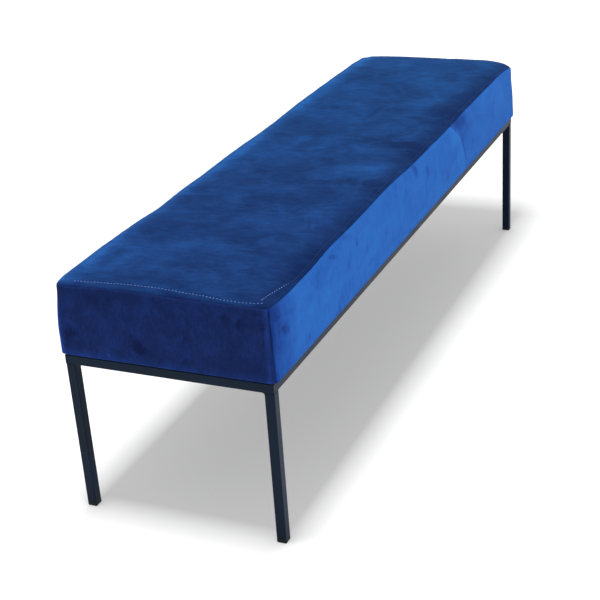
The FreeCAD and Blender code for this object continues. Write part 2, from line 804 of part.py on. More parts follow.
# A tee nut's local zero is the board's top face: the flange is above and the barrel below.
nuts = new_body("tee_nuts")
outline = new_sketch(nuts, "nut_flange_outlines", "XY_Plane")
for x, y, name in BOLTS:
    draw_circle(outline, x, y, cell("nut_flange"), "flange_" + name)
pad(nuts, outline, "nut_flanges", cell("nut_flange_thick"))
outline = new_sketch(nuts, "nut_barrel_outlines", "XY_Plane")
for x, y, name in BOLTS:
    draw_circle(outline, x, y, cell("nut_barrel"), "barrel_" + name)
pad(nuts, outline, "nut_barrels", cell("nut_barrel_long"), reverse=True)
bores = new_sketch(nuts, "nut_bore_outlines", "XY_Plane")
for x, y, name in BOLTS:
    draw_circle(bores, x, y, cell("nut_bore"), "bore_" + name)
pocket(nuts, bores, "nut_bores", cell("nut_barrel_long") * 4, symmetric=True)
keep(nuts, "tee_nuts")
place(nuts, 0, 0, board_top)

# ---------------------------------------------------------------------------
# Check everything, then write one file for each piece
# ---------------------------------------------------------------------------

doc.recompute()

bad = [thing.Label for thing in doc.Objects if "Invalid" in thing.State or "Error" in thing.State]
if bad:
    raise RuntimeError("failed: " + ", ".join(bad))
for label, thing in nodes:
    shape = thing.Shape
    if shape.isNull() or not shape.isValid() or not shape.Solids:
        raise RuntimeError(label + " has no valid solid")
for label, thing in nodes:
    thing.Shape.exportStep("parts/%s.step" % label)
    box = thing.Shape.BoundBox
    print(
        "%-26s %3d solids %12.1f mm3   x %8.2f %8.2f  y %8.2f %8.2f  z %7.2f %7.2f"
        % (label, len(thing.Shape.Solids), thing.Shape.Volume, box.XMin, box.XMax, box.YMin, box.YMax, box.ZMin, box.ZMax)
    )
print(len(nodes), "pieces")
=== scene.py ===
import math

import bpy
import numpy as np
from mathutils import Matrix, Vector
from mathutils.bvhtree import BVHTree


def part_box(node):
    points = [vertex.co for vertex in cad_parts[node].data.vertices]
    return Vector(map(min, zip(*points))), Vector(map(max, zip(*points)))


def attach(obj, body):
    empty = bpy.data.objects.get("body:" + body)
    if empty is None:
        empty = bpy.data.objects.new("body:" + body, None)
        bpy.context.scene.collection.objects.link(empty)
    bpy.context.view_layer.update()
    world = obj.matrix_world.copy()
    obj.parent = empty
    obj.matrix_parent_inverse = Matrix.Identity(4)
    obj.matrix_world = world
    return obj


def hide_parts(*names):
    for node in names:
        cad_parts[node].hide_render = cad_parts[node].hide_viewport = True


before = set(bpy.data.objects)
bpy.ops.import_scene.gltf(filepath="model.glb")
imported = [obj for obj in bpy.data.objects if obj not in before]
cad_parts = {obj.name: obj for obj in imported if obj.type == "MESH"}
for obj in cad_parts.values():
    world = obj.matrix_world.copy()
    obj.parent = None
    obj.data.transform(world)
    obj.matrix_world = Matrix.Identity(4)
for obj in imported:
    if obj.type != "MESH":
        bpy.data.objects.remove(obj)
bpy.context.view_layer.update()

scene = bpy.context.scene

# ---------------------------------------------------------------------------
# Camera. It stands where the photographer stood: the frame's edges were measured
# in the 600 x 600 picture and one camera was fitted to them.
# ---------------------------------------------------------------------------

CAMERA_AT = Vector((-2.37569, -1.00307, 1.28150))
CAMERA_AZ, CAMERA_EL, CAMERA_ROLL = (math.radians(v) for v in (24.7031, 24.5234, -4.0426))
FOCAL_PX = 1283.94
IMAGE_PX = 600.0


def make_camera():
    data = bpy.data.cameras.new("camera")
    data.sensor_fit = "HORIZONTAL"
    data.sensor_width = 36.0
    data.lens = FOCAL_PX * 36.0 / IMAGE_PX
    data.clip_start = 0.05
    data.clip_end = 60.0
    camera = bpy.data.objects.new("camera", data)
    scene.collection.objects.link(camera)
    forward = Vector(
        (
            math.cos(CAMERA_EL) * math.cos(CAMERA_AZ),
            math.cos(CAMERA_EL) * math.sin(CAMERA_AZ),
            -math.sin(CAMERA_EL),
        )
    )
    right = forward.cross(Vector((0, 0, 1))).normalized()
    up = right.cross(forward)
    c, s = math.cos(CAMERA_ROLL), math.sin(CAMERA_ROLL)
    right, up = c * right + s * up, c * up - s * right
    turn = Matrix((right, up, -forward)).transposed().to_4x4()
    camera.matrix_world = Matrix.Translation(CAMERA_AT) @ turn
    scene.camera = camera


make_camera()

# ---------------------------------------------------------------------------
# Lights, floor and colour
# ---------------------------------------------------------------------------

scene.view_settings.view_transform = "Standard"
scene.view_settings.look = "None"
scene.view_settings.exposure = 0.0
scene.view_settings.gamma = 1.0


def make_world(strength):
    world = bpy.data.worlds.new("studio")
    world.use_nodes = True
    background = world.node_tree.nodes["Background"]
    background.inputs["Color"].default_value = (1.0, 1.0, 1.0, 1.0)
    background.inputs["Strength"].default_value = strength
    scene.world = world


def make_sun(name, towards, strength, angle):
    """A distant soft light. towards is the direction from the bench to the light."""
    data = bpy.data.lights.new(name, "SUN")
    data.energy = strength
    data.angle = math.radians(angle)
    light = bpy.data.objects.new(name, data)
    light.rotation_euler = Vector(towards).to_track_quat("Z", "Y").to_euler()
    scene.collection.objects.link(light)
    return light


def linked(light, floor, lights_floor):
    """Keep a lamp to the floor, or off it: the softbox over the bench sets its shadow, the others its modelling."""
    group = bpy.data.collections.new(light.name + "_receivers")
    group.objects.link(floor)
    group.collection_objects[0].light_linking.link_state = "INCLUDE" if lights_floor else "EXCLUDE"
    light.light_linking.receiver_collection = group


def make_softbox(name, at, size, strength):
    """A rectangular lamp that looks straight down."""
    data = bpy.data.lights.new(name, "AREA")
    data.shape = "RECTANGLE"
    data.size, data.size_y = size
    data.energy = strength
    light = bpy.data.objects.new(name, data)
    light.location = at
    scene.collection.objects.link(light)
    return light


def make_floor():
    side, steps = 12.0, 8
    verts = [
        (-side + 2 * side * i / steps, -side + 2 * side * j / steps, -0.0002)
        for j in range(steps + 1)
        for i in range(steps + 1)
    ]
    faces = [
        (j * (steps + 1) + i, j * (steps + 1) + i + 1, (j + 1) * (steps + 1) + i + 1, (j + 1) * (steps + 1) + i)
        for j in range(steps)
        for i in range(steps)
    ]
    mesh = bpy.data.meshes.new("studio_floor")
    mesh.from_pydata(verts, [], faces)
    floor = bpy.data.objects.new("studio_floor", mesh)
    scene.collection.objects.link(floor)
    material = bpy.data.materials.new("floor_paper")
    material.use_nodes = True
    tree = material.node_tree
    shader = tree.nodes["Principled BSDF"]
    shader.inputs["Base Color"].default_value = (0.86, 0.86, 0.86, 1)
    shader.inputs["Roughness"].default_value = 0.95
    shader.inputs["Specular IOR Level"].default_value = 0.0
    # the paper glows a little everywhere, which lightens the bench's shadow on it, and glows more away from the bench,
    # where the one softbox falls off
    place = tree.nodes.new("ShaderNodeTexCoord")
    far = tree.nodes.new("ShaderNodeVectorMath")
    far.operation = "LENGTH"
    tree.links.new(place.outputs["Object"], far.inputs[0])
    rise = tree.nodes.new("ShaderNodeMapRange")
    rise.inputs["From Min"].default_value = 1.3
    rise.inputs["From Max"].default_value = 3.2
    rise.inputs["To Min"].default_value = 0.235
    rise.inputs["To Max"].default_value = 0.95
    tree.links.new(far.outputs["Value"], rise.inputs["Value"])
    shader.inputs["Emission Color"].default_value = (1, 1, 1, 1)
    tree.links.new(rise.outputs["Result"], shader.inputs["Emission Strength"])
    mesh.materials.append(material)
    return floor


make_world(0.50)
floor = make_floor()
linked(make_softbox("shadow_softbox", (-0.634, 0.0, 3.72), (1.25, 0.86), 118.0), floor, True)
linked(make_sun("overhead_softbox", (0.25, 0.05, 1.0), 2.2, 25.0), floor, False)
linked(make_sun("side_softbox", (0.20, -0.88, 0.42), 1.7, 35.0), floor, False)

# ---------------------------------------------------------------------------
# Material helpers
# ---------------------------------------------------------------------------


class Nodes:
    """A short way to write a material's node tree."""

    def __init__(self, name):
        self.material = bpy.data.materials.new(name)
        self.material.use_nodes = True
        self.tree = self.material.node_tree
        self.shader = self.tree.nodes["Principled BSDF"]
        self.place = self.add("ShaderNodeTexCoord").outputs["Object"]

    def add(self, kind, **settings):
        node = self.tree.nodes.new(kind)
        for key, value in settings.items():
            setattr(node, key, value)
        return node

    def link(self, source, target):
        self.tree.links.new(source, target)

    def mapped(self, scale=(1, 1, 1), turn=(0, 0, 0), move=(0, 0, 0), source=None):
        """The place, turned first and scaled after, so that a stretch follows the turned axes."""
        turned = self.add("ShaderNodeMapping")
        turned.inputs["Rotation"].default_value = tuple(math.radians(v) for v in turn)
        turned.inputs["Location"].default_value = move
        self.link(source or self.place, turned.inputs["Vector"])
        scaled = self.add("ShaderNodeMapping")
        scaled.inputs["Scale"].default_value = scale
        self.link(turned.outputs["Vector"], scaled.inputs["Vector"])
        return scaled.outputs["Vector"]

    def noise(self, vector, scale, detail=3.0, rough=0.5, distortion=0.0):
        node = self.add("ShaderNodeTexNoise")
        node.inputs["Scale"].default_value = scale
        node.inputs["Detail"].default_value = detail
        node.inputs["Roughness"].default_value = rough
        node.inputs["Distortion"].default_value = distortion
        self.link(vector, node.inputs["Vector"])
        return node.outputs["Fac"]

    def voronoi(self, vector, scale, feature="F1"):
        node = self.add("ShaderNodeTexVoronoi", feature=feature)
        node.inputs["Scale"].default_value = scale
        self.link(vector, node.inputs["Vector"])
        return node.outputs["Distance"]

    def wave(self, vector, scale, distortion=0.0, detail=2.0, direction="X"):
        node = self.add("ShaderNodeTexWave", bands_direction=direction)
        node.inputs["Scale"].default_value = scale
        node.inputs["Distortion"].default_value = distortion
        node.inputs["Detail"].default_value = detail
        self.link(vector, node.inputs["Vector"])
        return node.outputs["Fac"]

    def math(self, operation, a, b=None, c=None, clamp=False):
        node = self.add("ShaderNodeMath", operation=operation, use_clamp=clamp)
        for index, value in enumerate((a, b, c)):
            if value is None:
                continue
            if isinstance(value, (int, float)):
                node.inputs[index].default_value = value
            else:
                self.link(value, node.inputs[index])
        return node.outputs[0]

    def span(self, value, low, high, out_low=0.0, out_high=1.0, smooth=False):
        node = self.add("ShaderNodeMapRange", clamp=True)
        if smooth:
            node.interpolation_type = "SMOOTHSTEP"
        self.link(value, node.inputs["Value"])
        node.inputs["From Min"].default_value = low
        node.inputs["From Max"].default_value = high
        node.inputs["To Min"].default_value = out_low
        node.inputs["To Max"].default_value = out_high
        return node.outputs["Result"]

    def ramp(self, value, stops):
        node = self.add("ShaderNodeValToRGB")
        elements = node.color_ramp.elements
        while len(elements) < len(stops):
            elements.new(0.5)
        for element, (position, colour) in zip(elements, stops):
            element.position = position
            element.color = (*colour, 1.0)
        self.link(value, node.inputs["Fac"])
        return node.outputs["Color"]

    def mix(self, factor, a, b, blend="MIX"):
        node = self.add("ShaderNodeMix", data_type="RGBA", blend_type=blend)
        for socket, value in ((node.inputs[0], factor), (node.inputs[6], a), (node.inputs[7], b)):
            if isinstance(value, (int, float)):
                socket.default_value = value
            elif isinstance(value, tuple):
                socket.default_value = (*value, 1.0)
            else:
                self.link(value, socket)
        return node.outputs[2]

    def axes(self):
        node = self.add("ShaderNodeSeparateXYZ")
        self.link(self.place, node.inputs[0])
        return node.outputs[0], node.outputs[1], node.outputs[2]

    def mark(self, centre, radii, turn=0.0, axis="Z", ragged=0.0, noise=None):
        """One where a hand left a mark, fading to nothing at its edge. The radii are half sizes along x, y and z."""
        moved = self.add("ShaderNodeVectorMath", operation="SUBTRACT")
        self.link(self.place, moved.inputs[0])
        moved.inputs[1].default_value = centre
        angles = {"X": (turn, 0, 0), "Y": (0, turn, 0), "Z": (0, 0, turn)}[axis]
        vector = self.mapped(tuple(1.0 / r for r in radii), angles, source=moved.outputs[0])
        length = self.add("ShaderNodeVectorMath", operation="LENGTH")
        self.link(vector, length.inputs[0])
        reach = length.outputs["Value"]
        if noise is not None:
            reach = self.math("ADD", reach, self.math("MULTIPLY", self.math("SUBTRACT", noise, 0.5), ragged))
        return self.span(reach, 0.0, 1.15, 1.0, 0.0, smooth=True)

    def bump(self, height, strength, distance, after=None):
        node = self.add("ShaderNodeBump")
        node.inputs["Strength"].default_value = strength
        node.inputs["Distance"].default_value = distance
        self.link(height, node.inputs["Height"])
        if after is not None:
            self.link(after, node.inputs["Normal"])
        return node.outputs["Normal"]

    def set(self, **values):
        for name, value in values.items():
            socket = self.shader.inputs[name.replace("_", " ")]
            if isinstance(value, (int, float)):
                socket.default_value = value
            elif isinstance(value, tuple):
                socket.default_value = (*value, 1.0) if len(value) == 3 else value
            else:
                self.link(value, socket)


def srgb(r, g, b):
    """A colour of 0 to 255 per channel as linear light."""
    out = []
    for v in (r, g, b):
        v = v / 255.0
        out.append(v / 12.92 if v <= 0.04045 else ((v + 0.055) / 1.055) ** 2.4)
    return tuple(out)


def times(colour, factor):
    return tuple(v * factor for v in colour)


# ---------------------------------------------------------------------------
# Velvet. Each panel has its own depth of blue, as painted shade and painted light: the top,
# the long sides and the ends are lit and shaded copies of one velvet. Brushing leaves streaks along the way that a hand
# went.
# ---------------------------------------------------------------------------


def velvet_finish(n, pile_height, sheen, strength=0.35):
    """Sheen and pile that every velvet panel shares."""
    n.set(Roughness=0.92, Specular_IOR_Level=0.06, Sheen_Weight=sheen, Sheen_Roughness=0.34, Sheen_Tint=(0.10, 0.34, 1.0))
    pile = n.noise(n.place, 1500.0, 2.0, 0.6)
    height = n.math("ADD", n.math("MULTIPLY", pile, 0.35), n.math("MULTIPLY", pile_height, 0.65))
    n.set(Normal=n.bump(height, strength, 0.0009))


def add_up(n, parts, start=0.0):
    total = start
    for value, weight in parts:
        total = n.math("ADD", n.math("MULTIPLY", value, weight), total)
    return total


def velvet_top():
    n = Nodes("velvet_top")
    # cloudy patches where the pile lies one way or the other, with finer brushing across the bench in them
    broad = n.noise(n.mapped((6.0, 4.6, 5.0), (0, 0, -173), (1.7, 0.4, 0)), 1.0, 2.0, 0.5, 0.5)
    clouds = n.noise(n.mapped((13.0, 9.6, 8.0), (0, 0, -173), (0.3, 0.1, 0)), 1.0, 4.0, 0.58, 0.9)
    patches = n.noise(n.mapped((30.0, 19.0, 12.0), (0, 0, 176), (0.2, 0.8, 0)), 1.0, 4.0, 0.60, 1.0)
    strokes = n.noise(n.mapped((74.0, 26.0, 20.0), (0, 0, 168), (0.9, 0.6, 0)), 1.0, 3.0, 0.60, 0.5)
    fine = n.noise(n.mapped((165.0, 46.0, 40.0), (0, 0, 168), (0.0, 0.2, 0)), 1.0, 3.0, 0.6, 0.2)
    grain = n.noise(n.mapped((420.0, 210.0, 90.0), (0, 0, 165)), 1.0, 2.0, 0.6)
    tone = add_up(
        n,
        (
            (n.span(broad, 0.34, 0.66), 0.20),
            (n.span(clouds, 0.32, 0.68), 0.30),
            (n.span(patches, 0.32, 0.68), 0.17),
            (n.span(strokes, 0.30, 0.70), 0.17),
            (n.span(fine, 0.30, 0.70), 0.17),
            (n.span(grain, 0.3, 0.7), 0.15),
        ),
        -0.10,
    )
    for centre, radii, turn, weight in TOP_MARKS:
        tone = n.math("ADD", tone, n.math("MULTIPLY", n.mark(centre, radii, turn, "Z", 2.2, patches), weight))
    x, y, z = n.axes()
    # painted shade and painted sheen: the top's edges at the near end and the front are painted darker, and those at
    # the rear and the far end lighter, where the rounding turns from the light or catches its sheen
    tone = n.math("SUBTRACT", tone, n.math("MULTIPLY", n.span(y, -0.196, -0.140, 1.0, 0.0, smooth=True), 0.34))
    tone = n.math("ADD", tone, n.math("MULTIPLY", n.span(y, 0.140, 0.197, 0.0, 1.0, smooth=True), 0.50))
    tone = n.math("ADD", tone, n.math("MULTIPLY", n.span(x, 0.735, 0.752, 0.0, 1.0, smooth=True), 0.22))
    tone = n.math("SUBTRACT", tone, n.math("MULTIPLY", n.span(x, -0.740, -0.726, 1.0, 0.0, smooth=True), 0.06), clamp=True)
    colour = n.ramp(
        tone,
        [
            (0.00, times(srgb(13, 43, 97), TOP_GAIN)),
            (0.30, times(srgb(22, 58, 116), TOP_GAIN)),
            (0.55, times(srgb(30, 73, 138), TOP_GAIN)),
            (0.80, times(srgb(36, 89, 162), TOP_GAIN)),
            (1.00, times(srgb(46, 110, 192), TOP_GAIN)),
        ],
    )
    # painted sheen: towards the far end, where the top is seen flatter and flatter, the colour is painted with less red
    # and a little more green
    along = n.ramp(
        n.span(x, -0.75, 0.75),
        [(0.0, (0.84, 0.84, 0.88)), (0.2, (0.72, 0.77, 0.83)), (0.5, (0.64, 0.79, 0.82)), (0.77, (0.62, 0.93, 0.92)), (1.0, (0.64, 0.91, 0.88))],
    )
    colour = n.mix(1.0, colour, along, "MULTIPLY")
    colour = n.mix(1.0, colour, (1.34, 1.34, 1.34), "MULTIPLY")
    # painted highlight: the rear rounding is painted lighter, standing for the sheen it catches
    painted_rim_sheen = n.span(y, 0.1820, 0.2005, 0.0, 1.0, smooth=True)
    colour = n.mix(n.math("MULTIPLY", painted_rim_sheen, 0.70), colour, times(srgb(70, 138, 220), TOP_GAIN))
    # painted shade: the top's rounding over the near end is painted in the end's shaded colour, with a ragged edge
    wrapped = n.math("ADD", x, n.math("MULTIPLY", n.math("SUBTRACT", n.noise(n.mapped((9.0, 30.0, 9.0)), 1.0, 3.0, 0.6), 0.5), 0.028))
    wrapped = n.math("SUBTRACT", wrapped, n.math("MULTIPLY", n.span(y, 0.125, 0.190, 0.0, 1.0, smooth=True), 0.013))
    fold = n.span(wrapped, -0.7570, -0.7415, 1.0, 0.0, smooth=True)
    colour = n.mix(n.math("MULTIPLY", fold, 0.68), colour, times(srgb(24, 38, 96), END_GAIN))
    n.set(Base_Color=colour)
    velvet_finish(n, fine, 0.16)
    return n.material


def velvet_side():
    n = Nodes("velvet_side")
    up_streaks = n.noise(n.mapped((96.0, 60.0, 26.0)), 1.0, 3.0, 0.6, 0.5)
    hairs = n.noise(n.mapped((330.0, 300.0, 60.0)), 1.0, 2.0, 0.6)
    patches = n.noise(n.mapped((7.0, 9.0, 16.0), (0, 0, 0), (0.4, 0.0, 0.2)), 1.0, 4.0, 0.60, 1.2)
    marks = n.noise(n.mapped((52.0, 40.0, 20.0), (0, 12, 0), (0.1, 0.0, 0.5)), 1.0, 3.0, 0.6, 0.6)
    tone = add_up(
        n,
        (
            (n.span(up_streaks, 0.3, 0.7), 0.13),
            (n.span(patches, 0.3, 0.7), 0.24),
            (n.span(hairs, 0.3, 0.7), 0.11),
        ),
        0.38,
    )
    smudge = n.math("MULTIPLY", n.span(marks, 0.60, 0.74), n.span(patches, 0.60, 0.42))
    tone = n.math("SUBTRACT", tone, n.math("MULTIPLY", smudge, 0.45))
    for centre, radii, turn, weight in SIDE_MARKS:
        tone = n.math("ADD", tone, n.math("MULTIPLY", n.mark(centre, radii, turn, "Y", 3.2, marks), weight))
    x, y, z = n.axes()
    # a long curved fold hangs from the seam, shaped in the surface too; its light and shade are painted: a painted
    # highlight before it, painted shade behind it and along its line
    run = n.math("POWER", n.span(z, FOLD[1], FOLD[3]), 1.8)
    past = n.math("ADD", n.math("SUBTRACT", x, FOLD[2]), n.math("MULTIPLY", run, FOLD[2] - FOLD[0]))
    past = n.math("ADD", past, n.math("MULTIPLY", n.math("SUBTRACT", marks, 0.5), 0.030))
    front = n.span(y, -0.17, -0.19, 0.0, 1.0)
    behind = n.math("MULTIPLY", n.span(past, 0.0, 0.012, smooth=True), n.span(past, 0.020, 0.130, 1.0, 0.0, smooth=True))
    behind = n.math("MULTIPLY", behind, n.span(z, 0.345, 0.425, 0.25, 1.0))
    before = n.math("MULTIPLY", n.span(past, -0.060, -0.004, smooth=True), n.span(past, -0.002, 0.004, 1.0, 0.0, smooth=True))
    line = n.span(n.math("ABSOLUTE", past), 0.001, 0.009, 1.0, 0.0, smooth=True)
    shade = n.math("SUBTRACT", n.math("MULTIPLY", before, 0.14), n.math("ADD", n.math("MULTIPLY", behind, 0.34), n.math("MULTIPLY", line, 0.16)))
    tone = n.math("ADD", tone, n.math("MULTIPLY", shade, front))
    end = n.math("ABSOLUTE", x)
    ragged = n.math("ADD", end, n.math("MULTIPLY", n.math("SUBTRACT", marks, 0.5), 0.030))
    near = n.math("MULTIPLY", n.math("MULTIPLY", n.span(ragged, 0.655, 0.750, 0.0, 1.0), n.span(x, -0.1, 0.1, 1.0, 0.10)), n.span(z, 0.32, 0.44, 0.48, 0.66))
    tone = n.math("SUBTRACT", tone, near)
    hem = n.math("ADD", z, n.math("MULTIPLY", n.math("SUBTRACT", marks, 0.5), 0.020))
    tone = n.math("SUBTRACT", tone, n.math("MULTIPLY", n.span(hem, 0.308, 0.320, 1.0, 0.0, smooth=True), 0.16), clamp=True)
    colour = n.ramp(
        tone,
        [
            (0.00, times(srgb(19, 56, 134), SIDE_GAIN)),
            (0.30, times(srgb(33, 85, 171), SIDE_GAIN)),
            (0.62, times(srgb(41, 105, 194), SIDE_GAIN)),
            (1.00, times(srgb(49, 124, 211), SIDE_GAIN)),
        ],
    )
    seam = n.span(end, 0.7462, 0.7474, 0.0, 1.0, smooth=True)
    colour = n.mix(n.math("MULTIPLY", seam, 0.45), colour, times(srgb(14, 24, 66), SIDE_GAIN))
    n.set(Base_Color=colour)
    velvet_finish(n, up_streaks, 0.12)
    return n.material


def velvet_end():
    n = Nodes("velvet_end")
    up_streaks = n.noise(n.mapped((60.0, 150.0, 60.0)), 1.0, 3.0, 0.6, 0.4)
    hairs = n.noise(n.mapped((300.0, 420.0, 170.0)), 1.0, 2.0, 0.6)
    patches = n.noise(n.mapped((9.0, 16.0, 18.0), (0, 0, 0), (0.0, 0.3, 0.1)), 1.0, 4.0, 0.6, 1.2)
    marks = n.noise(n.mapped((40.0, 44.0, 40.0), (0, 0, 0), (0.2, 0.0, 0.4)), 1.0, 4.0, 0.6, 0.9)
    tone = add_up(
        n,
        (
            (n.span(up_streaks, 0.3, 0.7), 0.10),
            (n.span(patches, 0.3, 0.7), 0.22),
            (n.span(marks, 0.3, 0.7), 0.10),
            (n.span(hairs, 0.3, 0.7), 0.19),
        ),
        0.15,
    )
    for centre, radii, turn, weight in END_MARKS:
        tone = n.math("ADD", tone, n.math("MULTIPLY", n.mark(centre, radii, turn, "X", 3.4, marks), weight * 0.9))
    x, y, z = n.axes()
    side = n.math("ABSOLUTE", y)
    hem = n.math("ADD", z, n.math("MULTIPLY", n.math("SUBTRACT", marks, 0.5), 0.030))
    tone = n.math("ADD", tone, n.math("MULTIPLY", n.span(hem, 0.308, 0.330, 1.0, 0.0, smooth=True), 0.20))
    tone = n.math("ADD", tone, n.math("MULTIPLY", n.span(y, -0.19, 0.19, -0.03, 0.05), 1.0))
    # painted highlight: the end is painted lighter towards both upright edges, where it rounds into the long sides
    tone = n.math("ADD", tone, n.math("MULTIPLY", n.span(side, 0.186, 0.195, 0.0, 1.0, smooth=True), 0.24), clamp=True)
    colour = n.ramp(
        tone,
        [
            (0.00, times(srgb(14, 26, 70), END_GAIN)),
            (0.45, times(srgb(22, 41, 93), END_GAIN)),
            (0.75, times(srgb(29, 55, 124), END_GAIN)),
            (1.00, times(srgb(39, 73, 160), END_GAIN)),
        ],
    )
    seam = n.span(side, 0.1966, 0.1976, 0.0, 1.0, smooth=True)
    colour = n.mix(n.math("MULTIPLY", seam, 0.45), colour, times(srgb(12, 18, 50), END_GAIN))
    # painted highlight: the end is painted lighter still where it turns round the rear corner, standing for the sheen
    # the pile catches there
    painted_rim_sheen = n.span(y, 0.1925, 0.1990, 0.0, 1.0, smooth=True)
    colour = n.mix(n.math("MULTIPLY", painted_rim_sheen, 0.85), colour, times(srgb(62, 100, 200), END_GAIN))
    n.set(Base_Color=colour)
    velvet_finish(n, up_streaks, 0.08)
    return n.material


# The front's long curved fold, from its top (x, z) ... to its foot, as top x, foot z, foot x, top z.
FOLD = (0.214, 0.326, 0.309, 0.443)

# Where hands have brushed the pile one way or the other: centre and half sizes in metres, turn in degrees,
# and how much lighter (or, below nought, darker) it lies there.
TOP_MARKS = (
    ((0.279, -0.150, 0.448), (0.0549, 0.1376, 0.1000), -87, -0.20),
    ((0.058, -0.139, 0.448), (0.0479, 0.1037, 0.1000), 13, -0.30),
    ((-0.073, -0.024, 0.448), (0.0287, 0.0603, 0.1000), 20, -0.30),
    ((-0.186, -0.124, 0.448), (0.0272, 0.0786, 0.1000), 1, -0.24),
    ((-0.107, -0.128, 0.448), (0.0455, 0.0638, 0.1000), -53, 0.12),
    ((0.048, 0.078, 0.448), (0.0290, 0.0390, 0.1000), 21, 0.38),
    ((0.486, -0.054, 0.448), (0.0371, 0.1181, 0.1000), 48, 0.08),
    ((0.443, -0.011, 0.448), (0.0082, 0.0760, 0.1000), 62, 0.16),
    ((0.401, -0.111, 0.447), (0.0111, 0.0831, 0.1000), 62, 0.14),
    ((0.252, -0.010, 0.448), (0.0105, 0.0702, 0.1000), -85, -0.22),
    ((0.265, 0.092, 0.447), (0.0255, 0.0420, 0.1000), -36, -0.22),
    ((0.185, 0.018, 0.448), (0.0527, 0.0761, 0.1000), -33, 0.16),
    ((0.168, -0.089, 0.448), (0.0426, 0.0537, 0.1000), 4, 0.18),
    ((-0.416, -0.137, 0.448), (0.0059, 0.0380, 0.1000), 72, 0.20),
    ((-0.401, -0.117, 0.448), (0.0043, 0.0450, 0.1000), 67, 0.10),
    ((-0.103, 0.054, 0.448), (0.0309, 0.0658, 0.1000), -83, 0.14),
    ((0.645, 0.254, 0.447), (0.0350, 0.1034, 0.1000), 12, -0.10),
    ((-0.322, -0.072, 0.448), (0.0342, 0.0616, 0.1000), 7, -0.14),
    ((-0.298, 0.011, 0.448), (0.0383, 0.0586, 0.1000), -43, -0.12),
    ((-0.417, -0.049, 0.448), (0.0439, 0.0640, 0.1000), -3, 0.10),
    ((-0.546, 0.014, 0.448), (0.0258, 0.0764, 0.1000), -1, 0.18),
    ((-0.634, 0.055, 0.448), (0.0263, 0.0607, 0.1000), -71, 0.16),
    ((-0.653, 0.127, 0.448), (0.0214, 0.0566, 0.1000), -79, 0.22),
    ((-0.634, -0.050, 0.448), (0.0232, 0.0931, 0.1000), 1, -0.14),
    ((-0.542, -0.094, 0.448), (0.0332, 0.0414, 0.1000), -71, -0.12),
    ((-0.549, 0.122, 0.448), (0.0153, 0.0680, 0.1000), -90, 0.10),
    ((-0.483, -0.141, 0.448), (0.0274, 0.0428, 0.1000), -7, -0.12),
    ((-0.251, -0.017, 0.448), (0.0286, 0.0772, 0.1000), -25, 0.12),
)
SIDE_MARKS = (
    ((0.284, -0.203, 0.435), (0.0202, 0.0600, 0.1023), 70, -0.20),
    ((0.296, -0.204, 0.364), (0.0131, 0.0600, 0.0524), 28, -0.24),
    ((0.236, -0.203, 0.411), (0.0291, 0.0600, 0.0658), 55, 0.16),
    ((-0.034, -0.203, 0.424), (0.0114, 0.0600, 0.0271), 38, -0.34),
    ((0.173, -0.203, 0.342), (0.0150, 0.0600, 0.0333), -81, -0.22),
    ((-0.420, -0.203, 0.434), (0.0080, 0.0600, 0.0227), 67, -0.34),
    ((-0.489, -0.203, 0.424), (0.0069, 0.0600, 0.0216), 66, -0.34),
    ((-0.112, -0.203, 0.400), (0.0140, 0.0600, 0.0192), -56, -0.20),
    ((-0.156, -0.203, 0.435), (0.0092, 0.0600, 0.0162), -44, -0.16),
    ((-0.336, -0.203, 0.375), (0.0108, 0.0600, 0.0185), -16, -0.16),
    ((-0.227, -0.203, 0.369), (0.0119, 0.0600, 0.0167), 13, -0.14),
    ((-0.088, -0.203, 0.315), (0.0116, 0.0600, 0.0171), 52, -0.16),
    ((0.541, -0.203, 0.365), (0.0280, 0.0600, 0.0385), -30, -0.14),
    ((0.615, -0.204, 0.399), (0.0288, 0.0600, 0.0687), 71, 0.10),
    ((-0.462, -0.203, 0.346), (0.0120, 0.0600, 0.0215), -16, -0.14),
    ((-0.565, -0.203, 0.376), (0.0098, 0.0600, 0.0175), -9, -0.12),
    ((-0.732, -0.203, 0.421), (0.0071, 0.0600, 0.0179), 62, -0.34),
    ((-0.703, -0.203, 0.388), (0.0125, 0.0600, 0.0270), 64, -0.26),
    ((-0.675, -0.203, 0.408), (0.0079, 0.0600, 0.0240), 76, -0.16),
)
